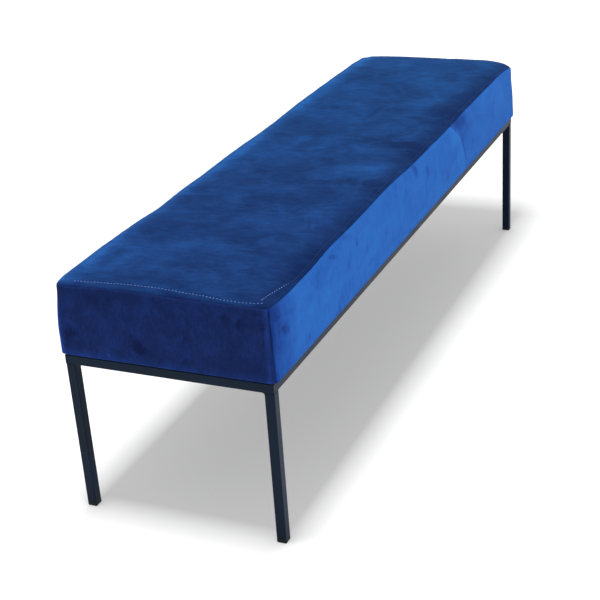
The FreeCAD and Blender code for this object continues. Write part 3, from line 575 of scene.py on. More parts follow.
END_MARKS = (
    ((-0.754, 0.175, 0.352), (0.0600, 0.0146, 0.0253), -28, -0.34),
    ((-0.754, 0.161, 0.337), (0.0600, 0.0112, 0.0145), -65, -0.20),
    ((-0.754, 0.044, 0.353), (0.0600, 0.0149, 0.0195), -48, -0.34),
    ((-0.754, 0.031, 0.338), (0.0600, 0.0113, 0.0190), -83, -0.20),
    ((-0.754, -0.052, 0.379), (0.0600, 0.0107, 0.0376), -12, -0.26),
    ((-0.754, -0.047, 0.330), (0.0600, 0.0090, 0.0173), -76, -0.22),
    ((-0.754, -0.148, 0.409), (0.0600, 0.0123, 0.0160), -75, -0.40),
    ((-0.754, -0.121, 0.420), (0.0600, 0.0079, 0.0099), -45, -0.28),
    ((-0.754, -0.189, 0.411), (0.0600, 0.0076, 0.0109), -17, -0.26),
    ((-0.754, -0.177, 0.432), (0.0600, 0.0053, 0.0205), 90, -0.18),
    ((-0.754, -0.188, 0.381), (0.0600, 0.0052, 0.0215), -6, -0.10),
    ((-0.754, 0.135, 0.314), (0.0600, 0.0078, 0.0314), -89, 0.14),
    ((-0.754, 0.098, 0.338), (0.0600, 0.0180, 0.0289), -71, 0.18),
    ((-0.754, -0.163, 0.360), (0.0600, 0.0141, 0.0326), -79, 0.12),
    ((-0.754, -0.083, 0.357), (0.0600, 0.0226, 0.0289), -45, 0.08),
    ((-0.754, -0.012, 0.309), (0.0600, 0.0057, 0.0447), -89, 0.16),
    ((-0.754, 0.120, 0.422), (0.0600, 0.0129, 0.0349), -86, -0.12),
    ((-0.754, 0.012, 0.414), (0.0600, 0.0146, 0.0447), -87, 0.08),
)
# how far each panel's velvet is painted lighter or darker: painted shade and light for how the lamps fall on the top,
# the long sides and the ends
TOP_GAIN, SIDE_GAIN, END_GAIN = 0.50, 0.64, 0.84


def thread_finish():
    n = Nodes("sewing_thread")
    twist = n.noise(n.place, 1800.0, 2.0, 0.5)
    x, y, z = n.axes()
    # painted light and shade: the one thread is painted light in the ends' rows and where the front row turns to the
    # near end, and dark along the long rows
    ends = n.math("MAXIMUM", n.span(n.math("ABSOLUTE", x), 0.7255, 0.7275, smooth=True), n.math("MULTIPLY", n.span(x, -0.660, -0.640, 1.0, 0.0), n.span(y, -0.17, -0.16, 1.0, 0.0)))
    light = n.ramp(n.span(twist, 0.3, 0.7), [(0.0, srgb(84, 114, 176)), (1.0, srgb(130, 158, 214))])
    dark = n.ramp(n.span(twist, 0.3, 0.7), [(0.0, srgb(24, 42, 84)), (1.0, srgb(44, 68, 118))])
    n.set(
        Base_Color=n.mix(ends, dark, light), Roughness=0.6, Specular_IOR_Level=0.15,
        Normal=n.bump(twist, 0.3, 0.0003),
    )
    return n.material


# ---------------------------------------------------------------------------
# The other materials
# ---------------------------------------------------------------------------


def powder_coat():
    n = Nodes("powder_coat")
    peel = n.noise(n.place, 900.0, 2.0, 0.5)
    drift = n.noise(n.place, 14.0, 3.0, 0.5)
    colour = n.mix(n.span(drift, 0.3, 0.7), srgb(8, 16, 30), srgb(12, 24, 43))
    n.set(
        Base_Color=colour,
        Roughness=n.span(n.math("ADD", n.math("MULTIPLY", drift, 0.6), n.math("MULTIPLY", peel, 0.4)), 0.3, 0.7, 0.42, 0.56),
        Specular_IOR_Level=0.16, Specular_Tint=(0.45, 0.72, 1.0),
        Normal=n.bump(peel, 0.22, 0.0005),
    )
    return n.material


def weld_finish():
    n = Nodes("coated_weld")
    ripple = n.noise(n.place, 420.0, 3.0, 0.6)
    colour = n.mix(n.span(ripple, 0.3, 0.7), srgb(8, 15, 23), srgb(17, 26, 37))
    n.set(Base_Color=colour, Specular_IOR_Level=0.18, Roughness=n.span(ripple, 0.3, 0.7, 0.38, 0.55), Normal=n.bump(ripple, 0.5, 0.0008))
    return n.material


def moulded_plastic():
    n = Nodes("moulded_plastic")
    grain = n.noise(n.place, 1300.0, 2.0, 0.6)
    scuff = n.noise(n.mapped((60.0, 60.0, 240.0)), 1.0, 3.0, 0.6)
    n.set(
        Base_Color=n.mix(n.span(scuff, 0.45, 0.75), srgb(12, 14, 18), srgb(30, 34, 40)),
        Roughness=n.span(scuff, 0.3, 0.7, 0.5, 0.68), Specular_IOR_Level=0.2,
        Normal=n.bump(grain, 0.25, 0.0003),
    )
    return n.material


def zinc():
    n = Nodes("zinc_plate")
    brushed = n.noise(n.mapped((900.0, 900.0, 160.0)), 1.0, 2.0, 0.6)
    bloom = n.noise(n.place, 160.0, 3.0, 0.6)
    n.set(
        Base_Color=n.mix(n.span(bloom, 0.3, 0.7), srgb(176, 178, 182), srgb(206, 206, 204)),
        Metallic=1.0,
        Roughness=n.span(bloom, 0.3, 0.7, 0.28, 0.45),
        Normal=n.bump(brushed, 0.15, 0.0002),
    )
    return n.material


def plywood():
    n = Nodes("birch_plywood")
    grain = n.noise(n.mapped((3.0, 60.0, 60.0)), 1.0, 4.0, 0.6, 1.2)
    x, y, z = n.axes()
    ply = n.wave(n.mapped((0.0, 0.0, 1.0)), 250.0, 0.0, 0.0, "Z")
    face = n.ramp(grain, [(0.3, srgb(196, 160, 112)), (0.7, srgb(222, 192, 148))])
    n.set(
        Base_Color=n.mix(n.math("MULTIPLY", ply, 0.35), face, srgb(128, 92, 58)),
        Roughness=n.span(grain, 0.3, 0.7, 0.6, 0.8),
        Normal=n.bump(grain, 0.3, 0.0005),
    )
    return n.material


def foam_finish():
    n = Nodes("open_cell_foam")
    cells = n.voronoi(n.place, 620.0)
    drift = n.noise(n.place, 12.0, 2.0, 0.5)
    n.set(
        Base_Color=n.mix(n.span(cells, 0.1, 0.7), srgb(214, 198, 140), srgb(236, 224, 172)),
        Roughness=0.95,
        Normal=n.bump(n.math("ADD", cells, n.math("MULTIPLY", drift, 0.2)), 0.6, 0.0008),
    )
    return n.material


def wadding_finish():
    n = Nodes("polyester_wadding")
    fibre = n.noise(n.mapped((300.0, 90.0, 300.0)), 1.0, 4.0, 0.7, 1.5)
    n.set(
        Base_Color=n.mix(n.span(fibre, 0.3, 0.7), srgb(224, 224, 220), srgb(244, 244, 242)),
        Roughness=0.95, Sheen_Weight=0.3,
        Normal=n.bump(fibre, 0.7, 0.001),
    )
    return n.material


def dust_cloth():
    n = Nodes("non_woven_cloth")
    dimples = n.voronoi(n.mapped((1.0, 1.35, 1.0)), 420.0)
    fibre = n.noise(n.mapped((500.0, 200.0, 500.0)), 1.0, 4.0, 0.7, 1.0)
    n.set(
        Base_Color=n.mix(n.span(fibre, 0.3, 0.7), srgb(20, 20, 22), srgb(38, 38, 41)),
        Roughness=0.9, Sheen_Weight=0.1,
        Normal=n.bump(n.math("ADD", n.math("MULTIPLY", dimples, 0.7), n.math("MULTIPLY", fibre, 0.5)), 0.5, 0.0006),
    )
    return n.material


COAT, WELD, PLASTIC, ZINC = powder_coat(), weld_finish(), moulded_plastic(), zinc()
PLY, FOAM, WADDING, DUST = plywood(), foam_finish(), wadding_finish(), dust_cloth()
TOP, SIDE, END, THREAD = velvet_top(), velvet_side(), velvet_end(), thread_finish()

BY_NODE = {
    "weld_beads": WELD,
    "seat_bolts": ZINC,
    "bolt_washers": ZINC,
    "tee_nuts": ZINC,
    "cover_staples": ZINC,
    "dust_cover_staples": ZINC,
    "seat_board": PLY,
    "foam_core": FOAM,
    "wadding_layer": WADDING,
    "dust_cover": DUST,
    "topstitching": THREAD,
    "cover_top_panel": TOP,
    "cover_front_band": SIDE,
    "cover_rear_band": SIDE,
    "cover_left_end_band": END,
    "cover_right_end_band": END,
}
for name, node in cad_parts.items():
    material = BY_NODE.get(name, PLASTIC if name.startswith("foot_glide") else COAT)
    node.data.materials.clear()
    node.data.materials.append(material)

# ---------------------------------------------------------------------------
# The seat's shape. Every soft layer is the same surface, drawn in by its depth.
# ---------------------------------------------------------------------------

HALF_X, HALF_Y = 0.7528, 0.2015
Z_LOW, Z_HIGH = 0.3076, 0.4455
ROUND = (0.0125, 0.0090, 0.0080)
ROUND_LOW = 0.0050
END_STITCH, SIDE_STITCH = 0.0205, 0.0110
FLAP = 0.030


def smooth_noise(p, size, seed, waves=9, stretch=(1.0, 1.0, 1.0)):
    """A smooth field of about unit height whose bumps are about size across."""
    rng = np.random.default_rng(seed)
    k = rng.normal(size=(waves, 3))
    k /= np.linalg.norm(k, axis=1)[:, None]
    k *= rng.uniform(0.55, 1.25, (waves, 1)) * 2 * math.pi / size
    k /= np.array(stretch)
    phase = rng.uniform(0, 2 * math.pi, waves)
    return np.sin(p @ k.T + phase).sum(1) * math.sqrt(2.0 / waves) * 0.7


def curve(x, knots):
    """A smooth curve through a few (place, value) knots."""
    xs = np.array([k[0] for k in knots])
    ys = np.array([k[1] for k in knots])
    slopes = np.gradient(ys, xs)
    x = np.clip(x, xs[0], xs[-1])
    i = np.clip(np.searchsorted(xs, x) - 1, 0, len(xs) - 2)
    width = xs[i + 1] - xs[i]
    t = (x - xs[i]) / width
    return (
        (1 + 2 * t) * (1 - t) ** 2 * ys[i]
        + t * (1 - t) ** 2 * width * slopes[i]
        + t * t * (3 - 2 * t) * ys[i + 1]
        + t * t * (t - 1) * width * slopes[i + 1]
    )


def bell(distance, width):
    return np.exp(-((distance / width) ** 2))


def step(value, low, high):
    t = np.clip((value - low) / (high - low), 0, 1)
    return t * t * (3 - 2 * t)


# How high the upholstery rides above or below its mean, in metres: the whole top along the bench first,
# then each edge against it. The front one is as the photograph shows it, and the rear one is its outline there.
ALONG = [(-0.751, -0.0010), (-0.40, -0.0012), (-0.10, 0.0000), (0.15, 0.0014), (0.36, 0.0042), (0.55, 0.0052), (0.751, 0.0056)]
FRONT_EDGE = [(-0.751, -0.0010), (-0.69, -0.0052), (-0.62, -0.0060), (-0.56, -0.0044), (-0.508, -0.0002), (-0.345, 0.0004), (-0.182, 0.0032), (0.035, -0.0026), (0.15, -0.0018), (0.244, -0.0010), (0.36, -0.0010), (0.491, 0.0004), (0.66, -0.0016), (0.751, -0.0050)]
REAR_EDGE = [(-0.751, -0.0030), (-0.69, 0.0000), (-0.633, 0.0012), (-0.575, 0.0010), (-0.515, 0.0018), (-0.455, 0.0006), (-0.39, -0.0026), (-0.32, -0.0004), (-0.25, 0.0002), (-0.176, -0.0010), (-0.098, 0.0014), (-0.015, 0.0016), (0.07, 0.0004), (0.16, 0.0004), (0.257, 0.0030), (0.36, 0.0030), (0.465, 0.0028), (0.575, 0.0022), (0.70, 0.0022), (0.751, 0.0004)]
LEFT_END = [(-0.201, 0.0002), (-0.17, 0.0002), (-0.12, -0.0012), (-0.05, -0.0010), (0.04, 0.0010), (0.12, 0.0002), (0.201, -0.0020)]
RIGHT_END = [(-0.201, -0.0070), (-0.18, -0.0010), (-0.15, 0.0032), (-0.08, 0.0030), (0.0, 0.0020), (0.08, 0.0018), (0.15, 0.0006), (0.18, -0.0020), (0.201, -0.0045)]


def unevenness(p, normal, crowned):
    """What upholstery adds to the plain block: crown, wavy edges, sides that belly and pull in. Returns moved points."""
    x, y, z = p[:, 0], p[:, 1], p[:, 2]
    u, v = np.clip(x / HALF_X, -1, 1), np.clip(y / HALF_Y, -1, 1)
    height = np.clip((z - Z_LOW) / (Z_HIGH - Z_LOW), 0, 1)
    up = np.clip(normal[:, 2], 0, 1)
    out = p.copy()
    lift = height**1.6
    # crown of the top, where no simulation has made it
    if crowned:
        out[:, 2] += lift * 0.0038 * (1 - np.abs(v) ** 3.0) * (1 - np.abs(u) ** 14)
    out[:, 2] += lift * curve(x, ALONG)
    # wavy edges, fading inwards
    out[:, 2] += lift * curve(x, FRONT_EDGE) * bell(y + HALF_Y, 0.075)
    out[:, 2] += lift * curve(x, REAR_EDGE) * bell(y - HALF_Y, 0.075)
    out[:, 2] += lift * curve(y, LEFT_END) * bell(x + HALF_X, 0.075) * 0.8
    out[:, 2] += lift * curve(y, RIGHT_END) * bell(x - HALF_X, 0.075) * 0.8
    # soft dents and swells of the filling
    flat = np.stack([x, y, z * 0.3], axis=1)
    out[:, 2] += lift * 0.0008 * smooth_noise(flat, 0.24, 3) * (1 - np.abs(u) ** 12) * (1 - np.abs(v) ** 6)
    out[:, 2] += lift * 0.00035 * smooth_noise(flat, 0.085, 5)
    # the sides belly a little between the seams, and are never quite true
    side_y = np.sign(y) * np.clip(np.abs(normal[:, 1]), 0, 1) ** 1.5
    side_x = np.sign(x) * np.clip(np.abs(normal[:, 0]), 0, 1) ** 1.5
    belly = np.sin(np.pi * np.clip(height, 0, 1)) ** 0.8
    wander = smooth_noise(np.stack([x, y * 0.5, z * 0.6], axis=1), 0.19, 11)
    hem = (1 - height) ** 2
    out[:, 1] += side_y * hem * np.where(y < 0, 0.0036 - 0.0012 * u, 0.0022)
    out[:, 0] += side_x * hem * 0.0012
    plump = 1.0 if crowned else 0.35
    out[:, 1] += side_y * (0.0013 * plump * belly * (1 - np.abs(u) ** 20) + 0.0009 * wander * np.clip(height * 3, 0, 1))
    out[:, 0] += side_x * (0.0011 * plump * belly * (1 - np.abs(v) ** 8) + 0.0006 * wander * np.clip(height * 3, 0, 1))
    # upright corners are round at the top, where the filling gives, and squarer down at the board
    arm = 0.032
    dx, dy = np.abs(x) - (HALF_X - arm), np.abs(y) - (HALF_Y - arm)
    inside = (dx > 0) & (dy > 0)
    reach = np.hypot(dx, dy)
    blunt = np.where(inside, np.maximum(dx, dy) / np.maximum(reach, 1e-9), 1.0)
    high = np.where(x > 0, np.where(y > 0, 1.0, 0.80), np.where(y > 0, 0.66, 0.10))
    give = high * step(height, np.where(x > 0, 0.05, 0.35), 1.0)
    pull = np.where(inside, give * (1 - blunt), 0.0)
    out[:, 0] -= np.sign(x) * np.maximum(dx, 0) * pull
    out[:, 1] -= np.sign(y) * np.maximum(dy, 0) * pull
    return out


def long_row(x, y):
    """How much further in the front row of stitches runs, where it turns towards the near end's row."""
    return np.where(y < 0, 0.0150 * (1 - step(x, -0.722, -0.615)), 0.0)


# where the near end's row of stitches wanders from its straight line
END_ROW = [(-0.201, 0.0014), (-0.180, 0.0024), (-0.149, 0.0052), (-0.118, 0.0064), (-0.089, 0.0044), (-0.020, 0.0), (0.054, -0.0006), (0.110, 0.0000), (0.161, 0.0008), (0.201, 0.0010)]


def end_row(x, y):
    """How much further out the near end's row of stitches runs."""
    return np.where(x < 0, curve(y, END_ROW), 0.0)


def seam_details(p, normal, out, on_top):
    """Grooves of the seams, the raised seam allowance, the topstitching's furrow and its puckers."""
    x, y, z = p[:, 0], p[:, 1], p[:, 2]
    ax, ay = np.abs(x), np.abs(y)
    s = math.sqrt(0.5)
    seam_x, seam_y, seam_z = HALF_X - ROUND[0] * (1 - s), HALF_Y - ROUND[1] * (1 - s), Z_HIGH - ROUND[2] * (1 - s)
    along_side = np.hypot(ay - seam_y, z - seam_z)
    along_end = np.hypot(ax - seam_x, z - seam_z)
    upright = np.hypot(ax - seam_x, ay - seam_y) + 0.02 * step(z, Z_HIGH - 0.002, Z_HIGH + 0.004)
    near = np.minimum(np.minimum(along_side, along_end), upright)
    # the ends' top seams are pulled over by the topstitching, so they show less
    deep = 1 - 0.55 * bell(along_end - near, 0.0015)
    move = deep * (-0.0010 * bell(near, 0.0011) + 0.00030 * bell(near - 0.0030, 0.0016))
    # seam allowances lie under the top panel, out to the topstitching
    from_end, from_side = HALF_X - ax + end_row(x, y), HALF_Y - ay - long_row(x, y)
    strip = np.maximum(1 - step(from_end, END_STITCH - 0.0012, END_STITCH + 0.0012), 1 - step(from_side, SIDE_STITCH - 0.0012, SIDE_STITCH + 0.0012))
    move += on_top * 0.00055 * strip * step(near, 0.001, 0.005)
    in_x, in_y = step(from_end, END_STITCH - 0.004, END_STITCH), step(from_side, SIDE_STITCH - 0.004, SIDE_STITCH)
    furrow = np.maximum(bell(from_end - END_STITCH, 0.0017) * in_y, bell(from_side - SIDE_STITCH, 0.0016) * in_x)
    move -= on_top * 0.0009 * furrow
    # puckers: the thread gathers the fabric a little
    q = np.stack([x * 0.25, y, z * 0], axis=1)
    gather = smooth_noise(q, 0.013, 21, 7) * 0.6 + smooth_noise(q, 0.034, 22, 7)
    reach = bell((from_end - END_STITCH) / np.where(from_end > END_STITCH, 1.7, 1.0), 0.011) * in_y
    move += on_top * 0.00042 * gather * reach
    q = np.stack([x, y * 0.25, z * 0], axis=1)
    gather = smooth_noise(q, 0.022, 23, 7) * 0.7 + smooth_noise(q, 0.06, 24, 7)
    reach = bell((from_side - SIDE_STITCH) / np.where(from_side > SIDE_STITCH, 1.6, 1.0), 0.009) * in_x
    move += on_top * 0.00030 * gather * reach
    # on the sides, small draws hang from the seam
    drop = np.clip(seam_z - z, 0, 1)
    draws = smooth_noise(np.stack([x, y * 0.9, z * 0.22], axis=1), 0.040, 31, 9)
    move += (1 - on_top) * 0.00055 * draws * np.exp(-drop / 0.035) * step(drop, 0.001, 0.006)
    # and short pulls stand up from the hem
    rise = np.clip(z - Z_LOW, 0, 1)
    pulls = smooth_noise(np.stack([x, y, z * 0.2], axis=1), 0.030, 33, 9)
    move += (1 - on_top) * 0.00040 * pulls * np.exp(-rise / 0.022) * step(rise, 0.004, 0.010)
    # one long curved fold on the front
    run = np.clip((z - FOLD[1]) / (FOLD[3] - FOLD[1]), 0, 1) ** 1.8
    past = x - FOLD[2] + run * (FOLD[2] - FOLD[0])
    reach = (1 - on_top) * (y < 0) * step(rise, 0.010, 0.040) * step(drop, 0.002, 0.012)
    move += reach * (0.0011 * bell(past + 0.012, 0.011) - 0.0013 * bell(past - 0.002, 0.0045))
    # folds that run in from the upright corner seams
    corner = np.hypot(ax - seam_x, ay - seam_y)
    folds = smooth_noise(np.stack([x * 0.6, y * 0.6, z * 1.0], axis=1), 0.045, 37, 9)
    move += (1 - on_top) * 0.00075 * folds * np.exp(-corner / 0.035) * step(corner, 0.001, 0.006) * step(rise, 0.006, 0.03)
    return out + normal * move[:, None]


def spread(length, fine, fine_reach, coarse):
    """Distances from 0 to length: steps of fine out to fine_reach, growing to coarse beyond."""
    marks, at, width = [0.0], 0.0, fine
    while at < length:
        width = fine if at < fine_reach else min(width * 1.25, coarse)
        at += width
        marks.append(at)
    marks = np.array(marks)
    return marks * (length / marks[-1])


def lines(half, radius, fine, fine_reach, coarse, steps=5):
    """Grid lines across the block, as (signed box coordinate) from -half to half, dense over the rounding and beside it."""
    inner = half - radius
    turn = np.tan(np.radians(np.linspace(0, 45, steps + 1)))[1:]
    outer = inner + radius * turn
    marks = inner - spread(inner, fine, fine_reach, coarse)
    positive = np.concatenate([marks[::-1], outer])
    positive[0] = 0.0
    return np.concatenate([-positive[:0:-1], positive])


class Block:
    """The seat's outline as a box grid: its surface vertices and quads, grouped by side."""

    def __init__(self, depth=0.0, bottom=None, coarse=(0.0055, 0.0034, 0.0040), fine=0.0016, flap=FLAP, low_round=ROUND_LOW):
        self.depth = depth
        self.half = np.array([HALF_X - depth, HALF_Y - depth])
        self.low = Z_LOW if bottom is None else bottom
        self.high = Z_HIGH - depth
        self.radius = np.array([max(r - depth, 0.0035) for r in ROUND])
        self.low_round = low_round
        xs = lines(self.half[0], self.radius[0], fine, 0.0185, coarse[0])
        ys = lines(self.half[1], self.radius[1], fine * 0.9, 0.0125, coarse[1])
        turn = np.tan(np.radians(np.linspace(0, 45, 6)))[1:]
        bottom_inner, top_inner = self.low + low_round, self.high - self.radius[2]
        middle = 0.5 * (bottom_inner + top_inner)
        upper = top_inner - spread(top_inner - middle, fine, 0.008, coarse[2])
        lower = bottom_inner + spread(middle - bottom_inner, fine * 1.2, 0.006, coarse[2])
        zs = np.concatenate(
            [(bottom_inner - low_round * turn)[::-1], lower, upper[::-1][1:], top_inner + self.radius[2] * turn]
        )
        self.xs, self.ys, self.zs = xs, ys, zs
        self.flap = flap
        self.index = {}
        self.keys = []
        self.quads = {"top": [], "front": [], "rear": [], "left": [], "right": [], "base_front": [], "base_rear": [], "base_left": [], "base_right": []}
        self._collect()
        self._place()

    def _vertex(self, key):
        found = self.index.get(key)
        if found is None:
            found = self.index[key] = len(self.keys)
            self.keys.append(key)
        return found

    def _collect(self):
        nx, ny, nz = len(self.xs) - 1, len(self.ys) - 1, len(self.zs) - 1
        v = self._vertex
        for i in range(nx):
            for j in range(ny):
                self.quads["top"].append((v((i, j, nz)), v((i + 1, j, nz)), v((i + 1, j + 1, nz)), v((i, j + 1, nz))))
        for k in range(nz):
            for i in range(nx):
                self.quads["front"].append((v((i, 0, k)), v((i + 1, 0, k)), v((i + 1, 0, k + 1)), v((i, 0, k + 1))))
                self.quads["rear"].append((v((i, ny, k)), v((i, ny, k + 1)), v((i + 1, ny, k + 1)), v((i + 1, ny, k))))
            for j in range(ny):
                self.quads["left"].append((v((0, j, k)), v((0, j, k + 1)), v((0, j + 1, k + 1)), v((0, j + 1, k))))
                self.quads["right"].append((v((nx, j, k)), v((nx, j + 1, k)), v((nx, j + 1, k + 1)), v((nx, j, k + 1))))
        inside_x = np.abs(0.5 * (self.xs[1:] + self.xs[:-1])) < self.half[0] - self.flap
        inside_y = np.abs(0.5 * (self.ys[1:] + self.ys[:-1])) < self.half[1] - self.flap
        for i in range(nx):
            for j in range(ny):
                if inside_x[i] and inside_y[j] and self.flap < 1:
                    continue
                if not inside_y[j]:
                    side = "base_front" if self.ys[j] < 0 else "base_rear"
                else:
                    side = "base_left" if self.xs[i] < 0 else "base_right"
                self.quads[side].append((v((i, j, 0)), v((i, j + 1, 0)), v((i + 1, j + 1, 0)), v((i + 1, j, 0))))

    def _place(self):
        keys = np.array(self.keys)
        x, y, z = self.xs[keys[:, 0]], self.ys[keys[:, 1]], self.zs[keys[:, 2]]
        box = np.stack([x, y, z], axis=1)
        low_in, high_in = self.low + self.low_round, self.high - self.radius[2]
        core = np.stack(
            [
                np.clip(x, -(self.half[0] - self.radius[0]), self.half[0] - self.radius[0]),
                np.clip(y, -(self.half[1] - self.radius[1]), self.half[1] - self.radius[1]),
                np.clip(z, low_in, high_in),
            ],
            axis=1,
        )
        radii = np.stack(
            [
                np.full(len(x), self.radius[0]),
                np.full(len(x), self.radius[1]),
                np.where(z < 0.5 * (low_in + high_in), self.low_round, self.radius[2]),
            ],
            axis=1,
        )
        away = (box - core) / radii
        length = np.linalg.norm(away, axis=1)
        away /= length[:, None]
        self.base = core + radii * away
        normal = away / radii
        self.normal = normal / np.linalg.norm(normal, axis=1)[:, None]
        self.on_top = (keys[:, 2] == len(self.zs) - 1).astype(float)

    def shaped(self, details, crowned=True):
        moved = unevenness(self.base, self.normal, crowned)
        if details:
            moved = seam_details(self.base, self.normal, moved, self.on_top)
        return moved


def vertex_normals(points, quads):
    """Area-weighted normals of a quad mesh."""
    q = np.array(quads)
    n = np.cross(points[q[:, 2]] - points[q[:, 0]], points[q[:, 3]] - points[q[:, 1]])
    out = np.zeros_like(points)
    for corner in range(4):
        np.add.at(out, q[:, corner], n)
    return out / np.maximum(np.linalg.norm(out, axis=1), 1e-12)[:, None]


def new_mesh(name, points, faces, material, smooth=True):
    mesh = bpy.data.meshes.new(name)
    mesh.from_pydata([tuple(p) for p in points], [], [tuple(int(i) for i in f) for f in faces])
    mesh.validate()
    if smooth:
        mesh.polygons.foreach_set("use_smooth", [True] * len(mesh.polygons))
    mesh.materials.append(material)
    mesh.update()
    piece = bpy.data.objects.new(name, mesh)
    scene.collection.objects.link(piece)
    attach(piece, "root")
    return piece


def shell(name, points, normals, quads, thick, material):
    """A closed sheet of that thickness, grown inwards from the given quads."""
    q = np.array(quads)
    used = np.unique(q)
    local = {int(g): i for i, g in enumerate(used)}
    remap = np.full(len(points), -1)
    remap[used] = np.arange(len(used))
    outer = points[used]
    inner = outer - normals[used] * thick
    count = len(used)
    q = remap[q]
    faces = [tuple(f) for f in q] + [tuple(f[::-1] + count) for f in q]
    edges = {}
    for f in q:
        for a, b in zip(f, np.roll(f, -1)):
            key = (min(a, b), max(a, b))
            edges[key] = None if key in edges else (a, b)
    for pair in edges.values():
        if pair is not None:
            a, b = pair
            faces.append((b, a, a + count, b + count))
    return new_mesh(name, np.concatenate([outer, inner]), faces, material)


# ---------------------------------------------------------------------------
# Cloth simulation. A coarser copy of the block, held at its stapled hem, is blown out against
# its own seams; how it moved, scaled to what firm foam allows, shapes the fine surface.
# ---------------------------------------------------------------------------


def side_grids(block):
    """For each side of the block, the vertex numbers as a grid, with the grid's two coordinate lines."""
    nx, ny, nz = len(block.xs), len(block.ys), len(block.zs)
    find = block.index

    def grid(a, b, key):
        return np.array([[find[key(i, j)] for j in range(b)] for i in range(a)])

    return {
        "top": (block.xs, block.ys, grid(nx, ny, lambda i, j: (i, j, nz - 1))),
        "front": (block.xs, block.zs, grid(nx, nz, lambda i, k: (i, 0, k))),
        "rear": (block.xs, block.zs, grid(nx, nz, lambda i, k: (i, ny - 1, k))),
        "left": (block.ys, block.zs, grid(ny, nz, lambda j, k: (0, j, k))),
        "right": (block.ys, block.zs, grid(ny, nz, lambda j, k: (nx - 1, j, k))),
    }


def resample(lines_a, lines_b, values, a, b):
    """Values of a grid at other places, by cubic curves along both of its directions."""

    def weights(marks, at):
        at = np.clip(at, marks[0], marks[-1])
        i = np.clip(np.searchsorted(marks, at, side="right") - 1, 0, len(marks) - 2)
        t = (at - marks[i]) / (marks[i + 1] - marks[i])
        w = np.stack(
            [
                0.5 * (-t + 2 * t**2 - t**3),
                0.5 * (2 - 5 * t**2 + 3 * t**3),
                0.5 * (t + 4 * t**2 - 3 * t**3),
                0.5 * (-(t**2) + t**3),
            ],
            axis=1,
        )
        index = np.clip(i[:, None] + np.arange(-1, 3)[None, :], 0, len(marks) - 1)
        return index, w

    ia, wa = weights(lines_a, a)
    ib, wb = weights(lines_b, b)
    out = np.zeros((len(a), values.shape[-1]))
    for m in range(4):
        for k in range(4):
            out += values[ia[:, m], ib[:, k]] * (wa[:, m] * wb[:, k])[:, None]
    return out


def simulate_cloth():
    """The coarse block and how far each of its vertices moved."""
    block = Block(coarse=(0.013, 0.012, 0.011), fine=0.009, flap=9.0)
    start = block.base + block.normal * (0.0006 * smooth_noise(block.base, 0.11, 61))[:, None]
    mesh = bpy.data.meshes.new("cover_simulation")
    mesh.from_pydata([tuple(p) for p in start], [], [q for side in block.quads.values() for q in side])
    cloth_object = bpy.data.objects.new("cover_simulation", mesh)
    scene.collection.objects.link(cloth_object)
    held = cloth_object.vertex_groups.new(name="held")
    low = block.base[:, 2] < Z_LOW + 0.006
    held.add([int(i) for i in np.nonzero(low)[0]], 1.0, "REPLACE")
    modifier = cloth_object.modifiers.new("cloth", "CLOTH")
    settings = modifier.settings
    settings.quality = 5
    settings.mass = 0.25
    settings.tension_stiffness = settings.compression_stiffness = 400.0
    settings.shear_stiffness = 160.0
    settings.tension_damping = settings.compression_damping = settings.shear_damping = 10.0
    settings.bending_stiffness = 0.5
    settings.air_damping = 3.0
    settings.use_pressure = True
    settings.uniform_pressure_force = 0.2
    settings.vertex_group_mass = "held"
    settings.effector_weights.gravity = 0.0
    modifier.collision_settings.use_collision = False
    modifier.point_cache.frame_start, modifier.point_cache.frame_end = 1, 20
    for frame_number in range(1, 21):
        scene.frame_set(frame_number)
    graph = bpy.context.evaluated_depsgraph_get()
    settled = cloth_object.evaluated_get(graph).to_mesh()
    flat = np.empty(len(settled.vertices) * 3)
    settled.vertices.foreach_get("co", flat)
    moved = flat.reshape(-1, 3) - start
    cloth_object.evaluated_get(graph).to_mesh_clear()
    bpy.data.objects.remove(cloth_object)
    bpy.data.meshes.remove(mesh)
    scene.frame_set(1)
    return block, moved


class Drape:
    """The simulated movement, ready to be read off at any other block's vertices."""

    CROWN, MOST = 0.0042, 0.0090

    def __init__(self):
        self.block, moved = simulate_cloth()
        top = (np.abs(self.block.base[:, 0]) < 0.4) & (np.abs(self.block.base[:, 1]) < 0.05) & (self.block.base[:, 2] > Z_HIGH - 0.001)
        self.raw = float(np.median(moved[top, 2]))
        moved = moved * (self.CROWN / self.raw)
        length = np.linalg.norm(moved, axis=1)
        moved *= (self.MOST * np.tanh(length / self.MOST) / np.maximum(length, 1e-9))[:, None]
        self.moved = moved
        self.grids = side_grids(self.block)

    def on(self, other):
        """Movement for each vertex of the other block, matched by its place across each side."""
        out = np.zeros((len(other.keys), 3))
        count = np.zeros(len(other.keys))
        stretch = {}
        for axis, (mine, theirs) in enumerate(((self.block.xs, other.xs), (self.block.ys, other.ys), (self.block.zs, other.zs))):
            stretch[axis] = mine[0] + (theirs - theirs[0]) * (mine[-1] - mine[0]) / (theirs[-1] - theirs[0])
        keys = np.array(other.keys)
        nx, ny, nz = len(other.xs) - 1, len(other.ys) - 1, len(other.zs) - 1
        members = {
            "top": (keys[:, 2] == nz, 0, 1), "front": (keys[:, 1] == 0, 0, 2), "rear": (keys[:, 1] == ny, 0, 2),
            "left": (keys[:, 0] == 0, 1, 2), "right": (keys[:, 0] == nx, 1, 2),
        }
        for side, (mask, first, second) in members.items():
            lines_a, lines_b, grid = self.grids[side]
            index = np.nonzero(mask)[0]
            a = stretch[first][keys[index, first]]
            b = stretch[second][keys[index, second]]
            out[index] += resample(lines_a, lines_b, self.moved[grid], a, b)
            count[index] += 1
        return out / np.maximum(count, 1)[:, None]


drape = Drape()


def upholstered(block, details):
    """The block's vertices as the finished upholstery has them."""
    points = block.shaped(details, crowned=drape is None)
    if drape is not None:
        points = points + drape.on(block)
    return points


